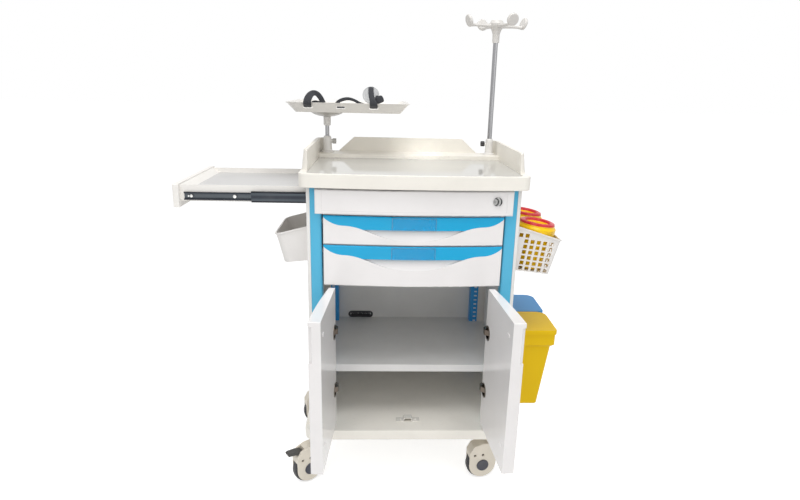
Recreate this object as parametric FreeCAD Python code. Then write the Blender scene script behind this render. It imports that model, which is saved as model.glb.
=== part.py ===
import FreeCAD, Part
import math
import os

# Crash cart: a cabinet on four casters with two drawers, two doors, a worktop,
# a pull-out side shelf, a defibrillator tray, an infusion pole and side bins.
# Sizes in millimetres.  X runs to the right, Y to the rear and Z up.  The model
# is laid out about the cabinet's centre plane, with Y = 0 at the front face of
# the columns and Z = 0 on the floor, and is moved to its origin at the end.

V = FreeCAD.Vector

# --- fits -----------------------------------------------------------------
running_clearance = 0.05
face_gap = 0.5

# --- cabinet body ---------------------------------------------------------
body_half_width = 300.0
body_depth = 418.0
floor_z = 218.0
body_height = 772.0
body_top = floor_z + body_height
side_thickness = 10.0
back_thickness = 12.0
side_edge_radius = 3.0
column_width = 32.0
column_depth = 30.0
column_wall = 2.5
column_edge_radius = 5.0
rear_column_width = 52.0
rear_column_depth = 34.0
column_outer = body_half_width - side_thickness
column_inner = column_outer - column_width
back_front_y = body_depth - back_thickness
rear_column_front = back_front_y - rear_column_depth
rear_column_inner = column_outer - rear_column_width
comb_slot_width = 10.0
comb_slot_height = 6.0
comb_pitch = 16.0
comb_start = 26.0
comb_count = 26
shelf_height = 186.0
shelf_z = floor_z + shelf_height
shelf_edge_height = 23.0
shelf_lip = 12.0
sheet = 1.5
port_center_x = -160.0
port_width = 90.0
port_height = 24.0
port_rim = 5.0
port_sleeve_wall = 2.0
port_flange = 3.0

# --- base moulding --------------------------------------------------------
base_side_margin = 16.0
base_front_lip = 40.0
base_back_margin = 16.0
base_corner_radius = 30.0
base_rim_height = 32.0
base_wall = 4.0
base_edge_radius = 2.0
shoulder_height = 42.0
shoulder_edge = 2.0
rib_thickness = 3.0
rib_height = 24.0
rib_spacing = 150.0
rib_inset = 150.0
foot_top_half = 32.0
foot_bottom_half = 27.0
foot_corner_radius = 12.0
base_half_width = body_half_width + base_side_margin
base_front = -base_front_lip
base_back = body_depth + base_back_margin

# --- casters --------------------------------------------------------------
wheel_radius = 50.0
wheel_width = 26.0
tyre_thickness = 9.0
caster_trail = 40.0
caster_side_inset = 16.0
caster_end_inset = 47.0
caster_height = 134.5
caster_angles = {"front_left": 215.0, "front_right": 190.0, "rear_left": 200.0, "rear_right": 195.0}
cheek_margin = 6.0
cheek_thickness = 5.5
wheel_side_gap = 1.5
wheel_top_gap = 2.5
axle_radius = 6.0
stem_radius = 6.0
stem_length = 30.0
neck_radius = 21.0
housing_hole_radius = 4.5
housing_hole_spacing = 27.0
housing_hole_rise = 37.0
crown_drop = 6.5
crown_corner = 6.0
crown_slope = 10.0
crown_nose = 32.0
housing_edge_radius = 2.0
hub_cap_radius = 20.0
hub_cap_thickness = 2.5
pedal_pivot_u = 66.0
pedal_pivot_rise = 60.0
pedal_half_width = 12.0
pedal_pin_radius = 3.0
pedal_travel = 12.0
caster_x = body_half_width - caster_side_inset
caster_front_y = caster_end_inset
caster_rear_y = body_depth - caster_end_inset
foot_bottom = caster_height + face_gap

# --- worktop --------------------------------------------------------------
worktop_side_overhang = 17.5
worktop_front_overhang = 31.0
worktop_back_overhang = 14.0
worktop_bow = 14.0
worktop_skirt = 30.0
worktop_rim_rise = 8.5
worktop_wall = 4.0
worktop_corner_radius = 24.0
worktop_edge_radius = 2.0
deck_thickness = 5.0
mat_thickness = 3.0
mat_margin = 1.0
well_corner_radius = 3.0
ledge_depth = 107.0
ledge_rise = 15.0
guard_height = 44.0
guard_setback = 59.0
guard_thickness = 18.0
guard_inset = 1.5
guard_draft = 6.0
guard_return = 14.0
guard_chamfer_length = 16.0
guard_chamfer_height = 10.0
rear_panel_height = 47.0
rear_panel_inset = 80.5
rear_panel_slope = 52.0
rear_panel_thickness = 6.0
worktop_half_width = body_half_width + worktop_side_overhang
worktop_front = -worktop_front_overhang
worktop_back = body_depth + worktop_back_overhang
worktop_bottom = body_top - worktop_skirt
worktop_rim_z = body_top + worktop_rim_rise
deck_z = body_top + deck_thickness
ledge_z = deck_z + ledge_rise
ledge_front = worktop_back - ledge_depth
guard_top = ledge_z + guard_height
guard_front = worktop_front + guard_setback
guard_outer_x = worktop_half_width - guard_inset
guard_inner_x = guard_outer_x - guard_thickness
guard_return_x = guard_inner_x - guard_return
rear_panel_top = ledge_z + rear_panel_height
rear_panel_bottom_half = worktop_half_width - rear_panel_inset
rear_panel_top_half = rear_panel_bottom_half - rear_panel_slope

# --- fascia and lock ------------------------------------------------------
front_bow = 14.0
fascia_height = 71.0
fascia_top_gap = 3.0
fascia_side_margin = 25.5
fascia_side_thickness = 20.0
fascia_wall = 4.0
fascia_edge_radius = 4.0
fascia_inset_margin = 19.0
fascia_inset_bottom_margin = 10.0
fascia_inset_top_margin = 7.0
fascia_inset_depth = 1.5
fascia_flange = 3.0
lock_side_inset = 72.0
lock_rise = 42.0
lock_radius = 12.5
lock_boss_wall = 4.0
lock_proud = 3.0
lock_length = 36.0
key_slot_half_width = 1.0
key_slot_half_height = 4.0
cam_length = 30.0
cam_width = 12.0
cam_thickness = 3.0
fascia_half_width = body_half_width - fascia_side_margin
fascia_top = worktop_bottom - fascia_top_gap
fascia_bottom = fascia_top - fascia_height
lock_x = body_half_width - lock_side_inset
lock_z = fascia_bottom + lock_rise

# --- drawers --------------------------------------------------------------
drawer_side_gap = 5.0
drawer_side_thickness = 15.0
drawer_back_y = 4.0
drawer_wall = 4.0
drawer_gap = 3.0
upper_drawer_gap = 5.0
upper_drawer_height = 82.0
lower_drawer_height = 119.0
drawer_edge_radius = 3.0
grip_depth = 4.0
grip_corner_x = 197.0
grip_end_drop = 5.0
grip_corner_drop = 28.0
grip_flat_drop = 38.0
scoop_drop = 71.0
scoop_handle_x = 130.0
scoop_handle_low_x = 105.0
scoop_depth = 12.0
finger_half_width = 110.0
finger_height = 16.0
window_half_width = 62.0
window_thickness = 1.2
window_notch_radius = 3.5
drawer_box_side_gap = 15.0
drawer_box_back_gap = 54.0
drawer_box_wall = 2.5
drawer_box_bottom_gap = 6.0
drawer_box_top_gap = 8.0
drawer_box_low_top_gap = 9.0
drawer_box_radius = 6.0
tongue_width = 12.0
tongue_thickness = 5.0
tongue_drop = 12.0
tongue_setback = 8.0
runner_width = 12.0
runner_wall = 2.0
runner_front = 12.0
runner_slide_gap = 0.5
drawer_travel = 300.0
angle_height = 20.0
angle_width = 18.0
angle_setback = 14.0
drawer_half_width = column_inner - drawer_side_gap
drawer_front_y = drawer_back_y - drawer_side_thickness
upper_drawer_top = fascia_bottom - upper_drawer_gap
upper_drawer_bottom = upper_drawer_top - upper_drawer_height
lower_drawer_top = upper_drawer_bottom - drawer_gap
lower_drawer_bottom = lower_drawer_top - lower_drawer_height
upper_box_height = upper_drawer_height - drawer_box_bottom_gap - drawer_box_top_gap
lower_box_height = lower_drawer_height - drawer_box_bottom_gap - drawer_box_low_top_gap
drawer_box_half_width = column_inner - drawer_box_side_gap
drawer_box_depth = body_depth - drawer_box_back_gap - drawer_back_y

# --- doors ----------------------------------------------------------------
door_top_gap = 4.0
door_floor_gap = 20.0
door_side_gap = 6.0
door_meeting_gap = 2.2
door_back_y = 8.0
door_edge_radius = 3.0
door_axis_inset = 2.0
door_axis_y = -22.0
door_open_angle = 94.0
hinge_rises = (122.0, 307.0)
cup_inset = 23.0
cup_radius = 17.5
cup_depth = 11.5
cup_wall = 1.5
cup_flange_radius = 22.0
cup_flange_thickness = 1.5
arm_axis_inset = 15.0
arm_axis_y = 16.0
arm_height = 16.0
arm_thickness = 3.0
arm_knuckle_radius = 5.0
arm_pin_radius = 2.5
arm_bend_inset = 44.0
arm_bend_y = -22.0
arm_reach = 16.0
arm_tip_run = 12.0
arm_tip_reach = 9.0
hinge_plate_half_height = 33.0
hinge_plate_thickness = 8.0
hinge_plate_front = 10.0
hinge_lug_thickness = 3.0
finger_groove_radius = 12.0
finger_groove_drop = 13.0
finger_groove_length = 100.0
buffer_rises = (62.0, 382.0)
buffer_x = 40.0
buffer_width = 18.0
buffer_height = 10.0
buffer_thickness = 1.5
strike_length = 73.0
strike_width = 20.0
strike_height = 12.0
strike_screw_spacing = 48.0
strike_sheet = 2.0
strike_foot = 15.0
strike_crown = 11.0
screw_head_radius = 4.0
screw_head_height = 2.6
door_bottom = floor_z + door_floor_gap
door_top = lower_drawer_bottom - door_top_gap
door_hinge_edge_x = column_inner - door_side_gap
door_axis_x = door_hinge_edge_x - door_axis_inset
arm_axis_x = column_inner - arm_axis_inset
hinge_heights = [door_bottom + rise for rise in hinge_rises]
buffer_heights = [door_bottom + rise for rise in buffer_rises]

# --- side shelf -----------------------------------------------------------
shelf_slide_drop = 71.0
shelf_stand_off = 20.0
shelf_travel = 355.0
shelf_end_thickness = 18.0
shelf_end_margin_front = 13.0
shelf_end_margin_back = 15.0
shelf_end_below = 32.0
shelf_end_above = 34.0
tray_front_gap = 18.0
tray_back_gap = 28.0
tray_length = 400.0
tray_skirt_below = 15.0
tray_floor_above = 15.0
tray_rim_above = 31.0
tray_slope = 22.0
tray_wall = 2.5
slide_inner_height = 22.0
slide_mid_height = 31.0
slide_outer_height = 40.0
slide_web = 1.2
slide_flange = 3.5
slide_inner_reach = 6.5
slide_mid_reach = 7.0
slide_outer_reach = 8.0
slide_total = 12.0
slide_mid_web_gap = 2.6
slide_lead = 30.0
slide_inner_length = 370.0
slide_mid_length = 350.0
slide_mid_lead = 10.0
notch_gap = 2.0
notch_drop = 3.0
rear_left_column_gap = 4.0
slide_z = body_top - shelf_slide_drop
shelf_end_x = -(body_half_width + shelf_stand_off + shelf_travel)
shelf_inner_x = shelf_end_x + shelf_end_thickness
tray_front = column_depth + tray_front_gap
tray_back = body_depth - tray_back_gap
tray_skirt_bottom = slide_z - tray_skirt_below
tray_floor_z = slide_z + tray_floor_above
tray_rim_z = slide_z + tray_rim_above
shelf_end_front = tray_front - shelf_end_margin_front
shelf_end_back = tray_back + shelf_end_margin_back
shelf_end_bottom = slide_z - shelf_end_below
shelf_end_top = slide_z + shelf_end_above
notch_bottom = shelf_end_bottom - notch_drop
rear_column_left_top = notch_bottom - rear_left_column_gap
slide_start_x = shelf_end_x + slide_lead
slide_end_x = slide_start_x + slide_inner_length
slide_mid_start = slide_start_x + shelf_travel / 2 + slide_mid_lead
slide_mid_end = slide_mid_start + slide_mid_length
slide_outer_start = -column_outer
slide_outer_end = slide_outer_start + slide_inner_length

# --- side bins ------------------------------------------------------------
# each bin: (height above the cabinet floor at the wall, at its outer side, reach)
storage_front = 30.0
storage_back = 248.0
storage_rim = (621.0, 596.0, 95.0)
storage_floor = (517.0, 509.0, 74.0)
storage_wall = 2.5
storage_taper = 8.0
storage_radius = 22.0
basket_front = 20.0
basket_back = 300.0
basket_rim = (632.0, 590.0, 133.0)
basket_floor = (496.0, 483.0, 107.0)
basket_wall = 3.0
basket_taper = 10.0
basket_radius = 10.0
bin_lip = 3.0
bin_lip_height = 4.0
basket_hole = 12.0
basket_pitch_s = 18.6
basket_pitch_t = 16.6
basket_first_row = 10.0
basket_rows = 7
basket_columns = 6
basket_solid_edge = 6.0
basket_solid_rim = 12.0
sharps_insets = (62.0, 68.0)
sharps_reach = 56.0
sharps_lift = 2.0
sharps_lean = 7.5
waste_front = 60.0
waste_depth = 150.0
waste_gap = 12.0
waste_floor_rise = 25.0
waste_body_height = 207.0
waste_collar_height = 54.0
waste_collar_step = 8.0
waste_reach_bottom = 121.0
waste_reach_top = 147.0
waste_collar_reach = 158.0
waste_taper_bottom = 12.0
waste_taper_top = 6.0
waste_foot_step = 4.0
waste_wall = 2.5
waste_lug_width = 12.0
waste_lug_inset = 4.0
lid_thickness = 4.0
lid_rim_drop = 10.0
lid_rim_thickness = 3.0
lid_gap = 1.0
lid_corner_radius = 28.0
lid_inner_radius = 8.0
lid_axis_reach = 6.0
lid_barrel_radius = 4.0
lid_pin_radius = 2.0
waste_pitch = waste_depth + waste_gap
waste_floor_z = floor_z + waste_floor_rise
waste_collar_bottom = waste_floor_z + waste_body_height
waste_collar_top = waste_collar_bottom + waste_collar_height
lid_axis_x = body_half_width + lid_axis_reach
lid_axis_z = waste_collar_top + lid_thickness + lid_barrel_radius

# --- poles and defibrillator tray -----------------------------------------
pole_side_inset = 28.0
pole_back_inset = 34.0
socket_tail_radius = 12.0
socket_height = 53.0
socket_foot = 6.0
socket_tail_gap = 4.0
knob_rise = 36.0
knob_screw_radius = 3.0
knob_radius = 9.0
knob_length = 12.0
knob_lobes = 8
knob_groove_radius = 3.0
knob_groove_out = 1.6
knob_boss_radius = 6.5
knob_boss_reach = 4.0
rod_wall = 1.5
defib_rod_radius = 7.0
defib_socket_base = 16.0
defib_socket_top = 13.0
defib_rod_sunk = 22.0
flange_rise = 135.0
flange_radius = 59.0
collar_length = 36.0
collar_head = 12.0
defib_tray_left = 85.0
defib_tray_right = 237.0
defib_tray_front = 144.0
defib_tray_back = 122.0
defib_tray_flare = 26.0
defib_tray_height = 30.0
defib_tray_wall = 2.5
defib_tray_radius = 14.0
strap_slot_x = (-44.0, 55.0, 155.0)
strap_slot_width = 27.0
strap_slot_height = 7.0
strap_slot_rise = 12.0
strap_width = 24.0
strap_thickness = 1.6
strap_setback = 8.0
disc_rise = 12.0
disc_radius = 25.0
disc_thickness = 3.0
iv_rod_radius = 7.75
iv_socket_base = 13.5
iv_socket_top = 12.5
iv_rod_sunk = 270.0
iv_head_rise = 357.0
iv_hub_rise = 51.0
iv_arm_reach = 108.0
iv_arm_turn = 18.0
iv_arm_root = 7.0
iv_arm_waist = 4.5
iv_paddle_radius = 19.0
iv_paddle_thickness = 10.0
iv_paddle_edge = 4.0
iv_paddle_lean = 18.0
iv_paddle_rise = 11.5
iv_hub_radius = 24.0
iv_neck_radius = 11.0
iv_neck_length = 26.0
iv_rod_into_head = 30.0
iv_travel = 240.0
pole_x = body_half_width - pole_side_inset
pole_y = body_depth - pole_back_inset
socket_top = ledge_z + socket_height
knob_z = ledge_z + knob_rise
defib_rod_bottom = body_top - defib_rod_sunk
flange_z = ledge_z + flange_rise
rod_top = flange_z - collar_head
defib_collar_bottom = rod_top - collar_length
iv_rod_bottom = ledge_z - iv_rod_sunk
iv_socket_bottom = body_top + socket_tail_gap
iv_head_bottom = ledge_z + iv_head_rise
iv_head_z = iv_head_bottom + iv_hub_rise


# --- building helpers -----------------------------------------------------
def box(x0, x1, y0, y1, z0, z1):
    return Part.makeBox(x1 - x0, y1 - y0, z1 - z0, V(x0, y0, z0))


def fused(shapes):
    result = shapes[0]
    for shape in shapes[1:]:
        result = result.fuse(shape)
    return result.removeSplitter()


def polygon_face(points):
    return Part.Face(Part.makePolygon(points + [points[0]]))


def prism_x(points_yz, x0, x1):
    return polygon_face([V(x0, y, z) for y, z in points_yz]).extrude(V(x1 - x0, 0, 0))


def prism_y(points_xz, y0, y1):
    return polygon_face([V(x, y0, z) for x, z in points_xz]).extrude(V(0, y1 - y0, 0))


def prism_z(points_xy, z0, z1):
    return polygon_face([V(x, y, z0) for x, y in points_xy]).extrude(V(0, 0, z1 - z0))


def turned(profile_rz, center=V(0, 0, 0)):
    """Solid of revolution about the vertical through center."""
    points = [V(center.x + r, center.y, center.z + z) for r, z in profile_rz]
    return polygon_face(points).revolve(center, V(0, 0, 1), 360)


def tube(radius, wall, z0, z1, place):
    outer = Part.makeCylinder(radius, z1 - z0, V(place.x, place.y, z0))
    return outer.cut(Part.makeCylinder(radius - wall, z1 - z0, V(place.x, place.y, z0)))


def mirrored(shape):
    return shape.mirror(V(0, 0, 0), V(1, 0, 0))


def plan_wire(x0, x1, y0, y1, z, radii=(0, 0, 0, 0), bow=0.0):
    """Plan outline; radii go front left, front right, back right, back left."""
    fl, fr, br, bl = radii
    edges = []

    def line(a, b):
        if (b - a).Length > 1e-6:
            edges.append(Part.LineSegment(a, b).toShape())

    def corner(a, b, middle):
        if (b - a).Length > 1e-6:
            edges.append(Part.Arc(a, middle, b).toShape())

    k = 1 - math.sqrt(0.5)
    start, end = V(x0 + fl, y0, z), V(x1 - fr, y0, z)
    if bow:
        edges.append(Part.Arc(start, V((x0 + x1) / 2, y0 - bow, z), end).toShape())
    else:
        line(start, end)
    corner(end, V(x1, y0 + fr, z), V(x1 - fr * k, y0 + fr * k, z))
    line(V(x1, y0 + fr, z), V(x1, y1 - br, z))
    corner(V(x1, y1 - br, z), V(x1 - br, y1, z), V(x1 - br * k, y1 - br * k, z))
    line(V(x1 - br, y1, z), V(x0 + bl, y1, z))
    corner(V(x0 + bl, y1, z), V(x0, y1 - bl, z), V(x0 + bl * k, y1 - bl * k, z))
    line(V(x0, y1 - bl, z), V(x0, y0 + fl, z))
    corner(V(x0, y0 + fl, z), start, V(x0 + fl * k, y0 + fl * k, z))
    return Part.Wire(edges)


def slab(x0, x1, y0, y1, z0, z1, radii=(0, 0, 0, 0), bow=0.0):
    return Part.Face(plan_wire(x0, x1, y0, y1, z0, radii, bow)).extrude(V(0, 0, z1 - z0))


def loft(wires):
    return Part.makeLoft(wires, True, True)


def bow_y(x, half_width, side_y, bow):
    """Y of a bowed front face at x: an arc through both sides and the centre."""
    radius = (half_width ** 2 + bow ** 2) / (2 * bow)
    return side_y - bow + radius - math.sqrt(radius ** 2 - x ** 2)


def outer_edges(shape, picks):
    return [edge for edge in shape.Edges if picks(edge.CenterOfMass)]


nodes = {}

# --- base -----------------------------------------------------------------
caster_places = {
    "front_left": V(-caster_x, caster_front_y, 0),
    "front_right": V(caster_x, caster_front_y, 0),
    "rear_left": V(-caster_x, caster_rear_y, 0),
    "rear_right": V(caster_x, caster_rear_y, 0),
}


def base_moulding():
    corner = (base_corner_radius,) * 4
    inner_corner = (base_corner_radius - base_wall,) * 4
    rim_bottom = floor_z - base_rim_height
    deck_bottom = floor_z - base_wall
    outer = slab(-base_half_width, base_half_width, base_front, base_back, rim_bottom, floor_z, corner)
    front_edge = outer_edges(outer, lambda c: abs(c.z - floor_z) < 0.1 or abs(c.z - rim_bottom) < 0.1)
    outer = outer.makeFillet(base_edge_radius, front_edge)
    cavity = slab(-base_half_width + base_wall, base_half_width - base_wall, base_front + base_wall,
                  base_back - base_wall, rim_bottom, deck_bottom, inner_corner)
    solids = [outer.cut(cavity)]
    # flared shoulder that laps the side panels and the back
    low = plan_wire(-base_half_width, base_half_width, 0, base_back, deck_bottom, (0, 0) + corner[:2])
    edge_x = body_half_width + shoulder_edge
    high = plan_wire(-edge_x, edge_x, 0, body_depth + shoulder_edge, floor_z + shoulder_height,
                     (0, 0) + (base_corner_radius / 2,) * 2)
    inside = box(-body_half_width, body_half_width, -1, body_depth, floor_z, body_top)
    bins_back = waste_front + waste_pitch + waste_depth
    bin_recess = box(body_half_width - 1, base_half_width + 1, waste_front, bins_back,
                     waste_floor_z - face_gap, body_top)
    solids.append(loft([low, high]).cut(inside).cut(bin_recess))
    # ribs under the deck
    half_wall = base_wall / 2
    rib_bottom = deck_bottom - rib_height
    for x in (-rib_spacing, 0, rib_spacing):
        solids.append(box(x, x + rib_thickness, base_front + half_wall, base_back - half_wall, rib_bottom,
                          deck_bottom))
    for y in (base_front + rib_inset, base_back - rib_inset):
        solids.append(box(-base_half_width + half_wall, base_half_width - half_wall, y, y + rib_thickness,
                          rib_bottom, deck_bottom))
    # corner feet that take the caster stems
    for place in caster_places.values():
        t, b = foot_top_half, foot_bottom_half
        corners = (foot_corner_radius,) * 4
        top = plan_wire(place.x - t, place.x + t, place.y - t, place.y + t, deck_bottom, corners)
        bottom = plan_wire(place.x - b, place.x + b, place.y - b, place.y + b, foot_bottom,
                           (foot_corner_radius,) * 4)
        solids.append(loft([bottom, top]))
    body = fused(solids)
    for place in caster_places.values():
        bore = Part.makeCylinder(stem_radius + running_clearance, stem_length + 2,
                                 V(place.x, place.y, foot_bottom))
        body = body.cut(bore)
    return body


nodes["base_moulding"] = base_moulding()


# --- cabinet body ---------------------------------------------------------
def front_column():
    outer = slab(column_inner, column_outer, 0, column_depth, floor_z, body_top,
                 (column_edge_radius, 2, 2, 2))
    w = column_wall
    inner = slab(column_inner + w, column_outer - w, w, column_depth - w, floor_z, body_top,
                 (column_edge_radius - w, 1, 1, 1))
    return outer.cut(inner)


def rear_column(top):
    w = column_wall
    outer = slab(rear_column_inner, column_outer, rear_column_front, back_front_y, floor_z, top, (2,) * 4)
    inner = slab(rear_column_inner + w, column_outer - w, rear_column_front + w, back_front_y - w,
                 floor_z, top, (1,) * 4)
    column = outer.cut(inner)
    slot_x = rear_column_inner + rear_column_width / 3
    slots = [box(slot_x - comb_slot_width / 2, slot_x + comb_slot_width / 2, rear_column_front - 1,
                 rear_column_front + w + 1, floor_z + comb_start + i * comb_pitch,
                 floor_z + comb_start + i * comb_pitch + comb_slot_height) for i in range(comb_count)]
    return column.cut(Part.makeCompound(slots))


def side_panel():
    panel = box(column_outer, body_half_width, 0, body_depth, floor_z, body_top)
    edge = outer_edges(panel, lambda c: c.x > body_half_width - 0.1 and c.y < 0.1)
    return panel.makeFillet(side_edge_radius, edge)


nodes["front_columns"] = Part.makeCompound([front_column(), mirrored(front_column())])
right_rear, left_rear = rear_column(body_top), mirrored(rear_column(rear_column_left_top))
nodes["rear_columns"] = Part.makeCompound([right_rear, left_rear])
nodes["side_panel_right"] = side_panel()
shelf_notch = box(-body_half_width - 1, -column_outer + 1, column_depth + notch_gap,
                  tray_back + slide_total + notch_gap, notch_bottom, body_top + 1)
nodes["side_panel_left"] = mirrored(side_panel()).cut(shelf_notch)

port_bottom = shelf_z


def stadium_y(width, height, center_x, bottom, y0, y1):
    """Plate with round ends, standing in the XZ plane."""
    r = height / 2
    mid = bottom + r
    left, right = center_x - width / 2 + r, center_x + width / 2 - r
    wire = Part.Wire([
        Part.LineSegment(V(left, y0, bottom), V(right, y0, bottom)).toShape(),
        Part.Arc(V(right, y0, bottom), V(right + r, y0, mid), V(right, y0, bottom + height)).toShape(),
        Part.LineSegment(V(right, y0, bottom + height), V(left, y0, bottom + height)).toShape(),
        Part.Arc(V(left, y0, bottom + height), V(left - r, y0, mid), V(left, y0, bottom)).toShape(),
    ])
    return Part.Face(wire).extrude(V(0, y1 - y0, 0))


def back_panel():
    panel = box(-column_outer, column_outer, back_front_y, body_depth, floor_z, body_top)
    hole = stadium_y(port_width - 2 * port_rim, port_height - 2 * port_rim, port_center_x,
                     port_bottom + port_rim, back_front_y - 1, body_depth + 1)
    return panel.cut(hole)


def cable_port():
    flange = stadium_y(port_width, port_height, port_center_x, port_bottom, back_front_y - port_flange,
                       back_front_y)
    sleeve = stadium_y(port_width - 2 * port_rim, port_height - 2 * port_rim, port_center_x,
                       port_bottom + port_rim, back_front_y - 1, body_depth + 1)
    inner = port_rim + port_sleeve_wall
    bore = stadium_y(port_width - 2 * inner, port_height - 2 * inner, port_center_x, port_bottom + inner,
                     back_front_y - port_flange - 1, body_depth + 2)
    return flange.fuse(sleeve).cut(bore).removeSplitter()


def cabinet_shelf():
    half = column_outer
    front = column_depth + 1
    plate = box(-half, half, front, rear_column_front - face_gap, shelf_z - sheet, shelf_z)
    tongue = box(-rear_column_inner + 1, rear_column_inner - 1, rear_column_front - 1, back_front_y,
                 shelf_z - sheet, shelf_z)
    apron = box(-half, half, front, front + sheet, shelf_z - shelf_edge_height, shelf_z)
    lip = box(-half, half, front, front + shelf_lip, shelf_z - shelf_edge_height,
              shelf_z - shelf_edge_height + sheet)
    return fused([plate, tongue, apron, lip])


nodes["back_panel"] = back_panel()
nodes["cable_port"] = cable_port()
nodes["cabinet_shelf"] = cabinet_shelf()


# --- worktop --------------------------------------------------------------
well_half = guard_inner_x - mat_margin


def worktop():
    r = worktop_corner_radius
    w = worktop_wall
    radii = (r,) * 4
    inner_radii = (r - w,) * 4
    outer = slab(-worktop_half_width, worktop_half_width, worktop_front, worktop_back, worktop_bottom,
                 worktop_rim_z, radii, worktop_bow)
    rim_edges = outer_edges(outer, lambda c: abs(c.z - worktop_rim_z) < 0.1 or abs(c.z - worktop_bottom) < 0.1)
    outer = outer.makeFillet(worktop_edge_radius, rim_edges)
    under = slab(-worktop_half_width + w, worktop_half_width - w, worktop_front + w, worktop_back - w,
                 worktop_bottom, body_top, inner_radii, worktop_bow)
    corner = well_corner_radius
    well = slab(-well_half, well_half, worktop_front + 2 * w, ledge_front, deck_z,
                worktop_rim_z + 1, (r - w, r - w, corner, corner), worktop_bow)
    top = outer.cut(under).cut(well)
    ledge = slab(-guard_outer_x, guard_outer_x, ledge_front, worktop_back, deck_z - 1, ledge_z,
                 (corner, corner, r, r))
    ledge_hollow = box(-guard_inner_x, guard_inner_x, ledge_front + w, worktop_back - w, body_top - 1,
                       ledge_z - w)
    # side guards that wrap the rear corners
    low = plan_wire(-guard_outer_x, guard_outer_x, guard_front, worktop_back - 1, worktop_rim_z - 2, radii)
    d = guard_draft
    high = plan_wire(-guard_outer_x + d, guard_outer_x - d, guard_front + d, worktop_back - 1 - d, guard_top,
                     radii)
    ring = loft([low, high])
    ahead = guard_front - guard_thickness
    hollow = slab(-guard_inner_x, guard_inner_x, ahead, worktop_back - guard_thickness, worktop_rim_z - 3,
                  guard_top + 1, (0, 0, r / 2, r / 2))
    middle = box(-guard_return_x, guard_return_x, ahead, worktop_back + 1, worktop_rim_z - 3, guard_top + 1)
    guards = ring.cut(hollow).cut(middle)
    chamfer = prism_x([(guard_front - 1, guard_top - guard_chamfer_height), (guard_front - 1, guard_top + 1),
                       (guard_front + guard_chamfer_length, guard_top + 1)], -guard_outer_x, guard_outer_x)
    guards = guards.cut(chamfer)
    panel = prism_y([(-rear_panel_bottom_half, ledge_z - 1), (rear_panel_bottom_half, ledge_z - 1),
                     (rear_panel_bottom_half, ledge_z), (rear_panel_top_half, rear_panel_top),
                     (-rear_panel_top_half, rear_panel_top), (-rear_panel_bottom_half, ledge_z)],
                    worktop_back - rear_panel_thickness, worktop_back)
    panel_edges = outer_edges(panel, lambda c: abs(c.z - rear_panel_top) < 0.1 and abs(c.x) < 1)
    panel = panel.makeFillet(worktop_edge_radius, panel_edges)
    solid = fused([top, ledge, guards, panel]).cut(ledge_hollow)
    holes = [Part.makeCylinder(socket_tail_radius, ledge_z - worktop_bottom + 1, V(x, pole_y, worktop_bottom))
             for x in (-pole_x, pole_x)]
    return solid.cut(Part.makeCompound(holes))


nodes["worktop"] = worktop()
mat_r = worktop_corner_radius - worktop_wall - mat_margin
mat_back_r = well_corner_radius - mat_margin
nodes["worktop_mat"] = slab(-well_half + mat_margin, well_half - mat_margin,
                            worktop_front + 2 * worktop_wall + mat_margin, ledge_front - mat_margin, deck_z,
                            deck_z + mat_thickness, (mat_r, mat_r, mat_back_r, mat_back_r), worktop_bow)


# --- fascia and lock ------------------------------------------------------
def lock_fascia():
    half = fascia_half_width
    t = fascia_side_thickness
    plate = slab(-half, half, -t, 0, fascia_bottom, fascia_top, bow=front_bow)
    plate = plate.makeFillet(fascia_edge_radius, outer_edges(plate, lambda c: c.y < -t + 0.5))
    w = fascia_wall
    pocket_half = column_inner - w
    pocket_bow = bow_y(pocket_half, half, -t, front_bow) - bow_y(0, half, -t, front_bow)
    pocket = slab(-pocket_half, pocket_half, bow_y(pocket_half, half, -t, front_bow) + w, 1, fascia_bottom + w,
                  fascia_top - w, bow=pocket_bow)
    i = half - fascia_inset_margin
    inset = slab(-i, i, -t - 2 * front_bow, -t + fascia_inset_depth, fascia_bottom + fascia_inset_bottom_margin,
                 fascia_top - fascia_inset_top_margin)
    core = slab(-half, half, -t + fascia_inset_depth, 1, fascia_bottom, fascia_top, bow=front_bow)
    plate = plate.cut(pocket).cut(inset.cut(core))
    boss = Part.makeCylinder(lock_radius + lock_boss_wall, t, V(lock_x, -t, lock_z), V(0, 1, 0))
    x0 = column_inner - face_gap - fascia_flange
    flange = box(x0, x0 + fascia_flange, -w, column_depth / 2, fascia_bottom + w, fascia_top - w)
    bore = Part.makeCylinder(lock_radius + running_clearance, 3 * t, V(lock_x, -2 * t, lock_z), V(0, 1, 0))
    return fused([plate, boss, flange, mirrored(flange)]).cut(bore)


def lock_cylinder():
    face_y = bow_y(lock_x, fascia_half_width, -fascia_side_thickness, front_bow) - lock_proud
    barrel = Part.makeCylinder(lock_radius, lock_length, V(lock_x, face_y, lock_z), V(0, 1, 0))
    barrel = barrel.makeFillet(1.0, outer_edges(barrel, lambda c: abs(c.y - face_y) < 0.1))
    key = box(lock_x - key_slot_half_width, lock_x + key_slot_half_width, face_y - 1, face_y + lock_radius,
              lock_z - key_slot_half_height, lock_z + key_slot_half_height)
    end_y = face_y + lock_length
    cam = box(lock_x - cam_length, lock_x, end_y, end_y + cam_thickness, lock_z - cam_width / 2,
              lock_z + cam_width / 2)
    seat = Part.makeCylinder(cam_width / 2, cam_thickness, V(lock_x, end_y, lock_z), V(0, 1, 0))
    return fused([barrel, cam, seat]).cut(key)


nodes["lock_fascia"] = lock_fascia()
nodes["lock_cylinder"] = lock_cylinder()


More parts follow.
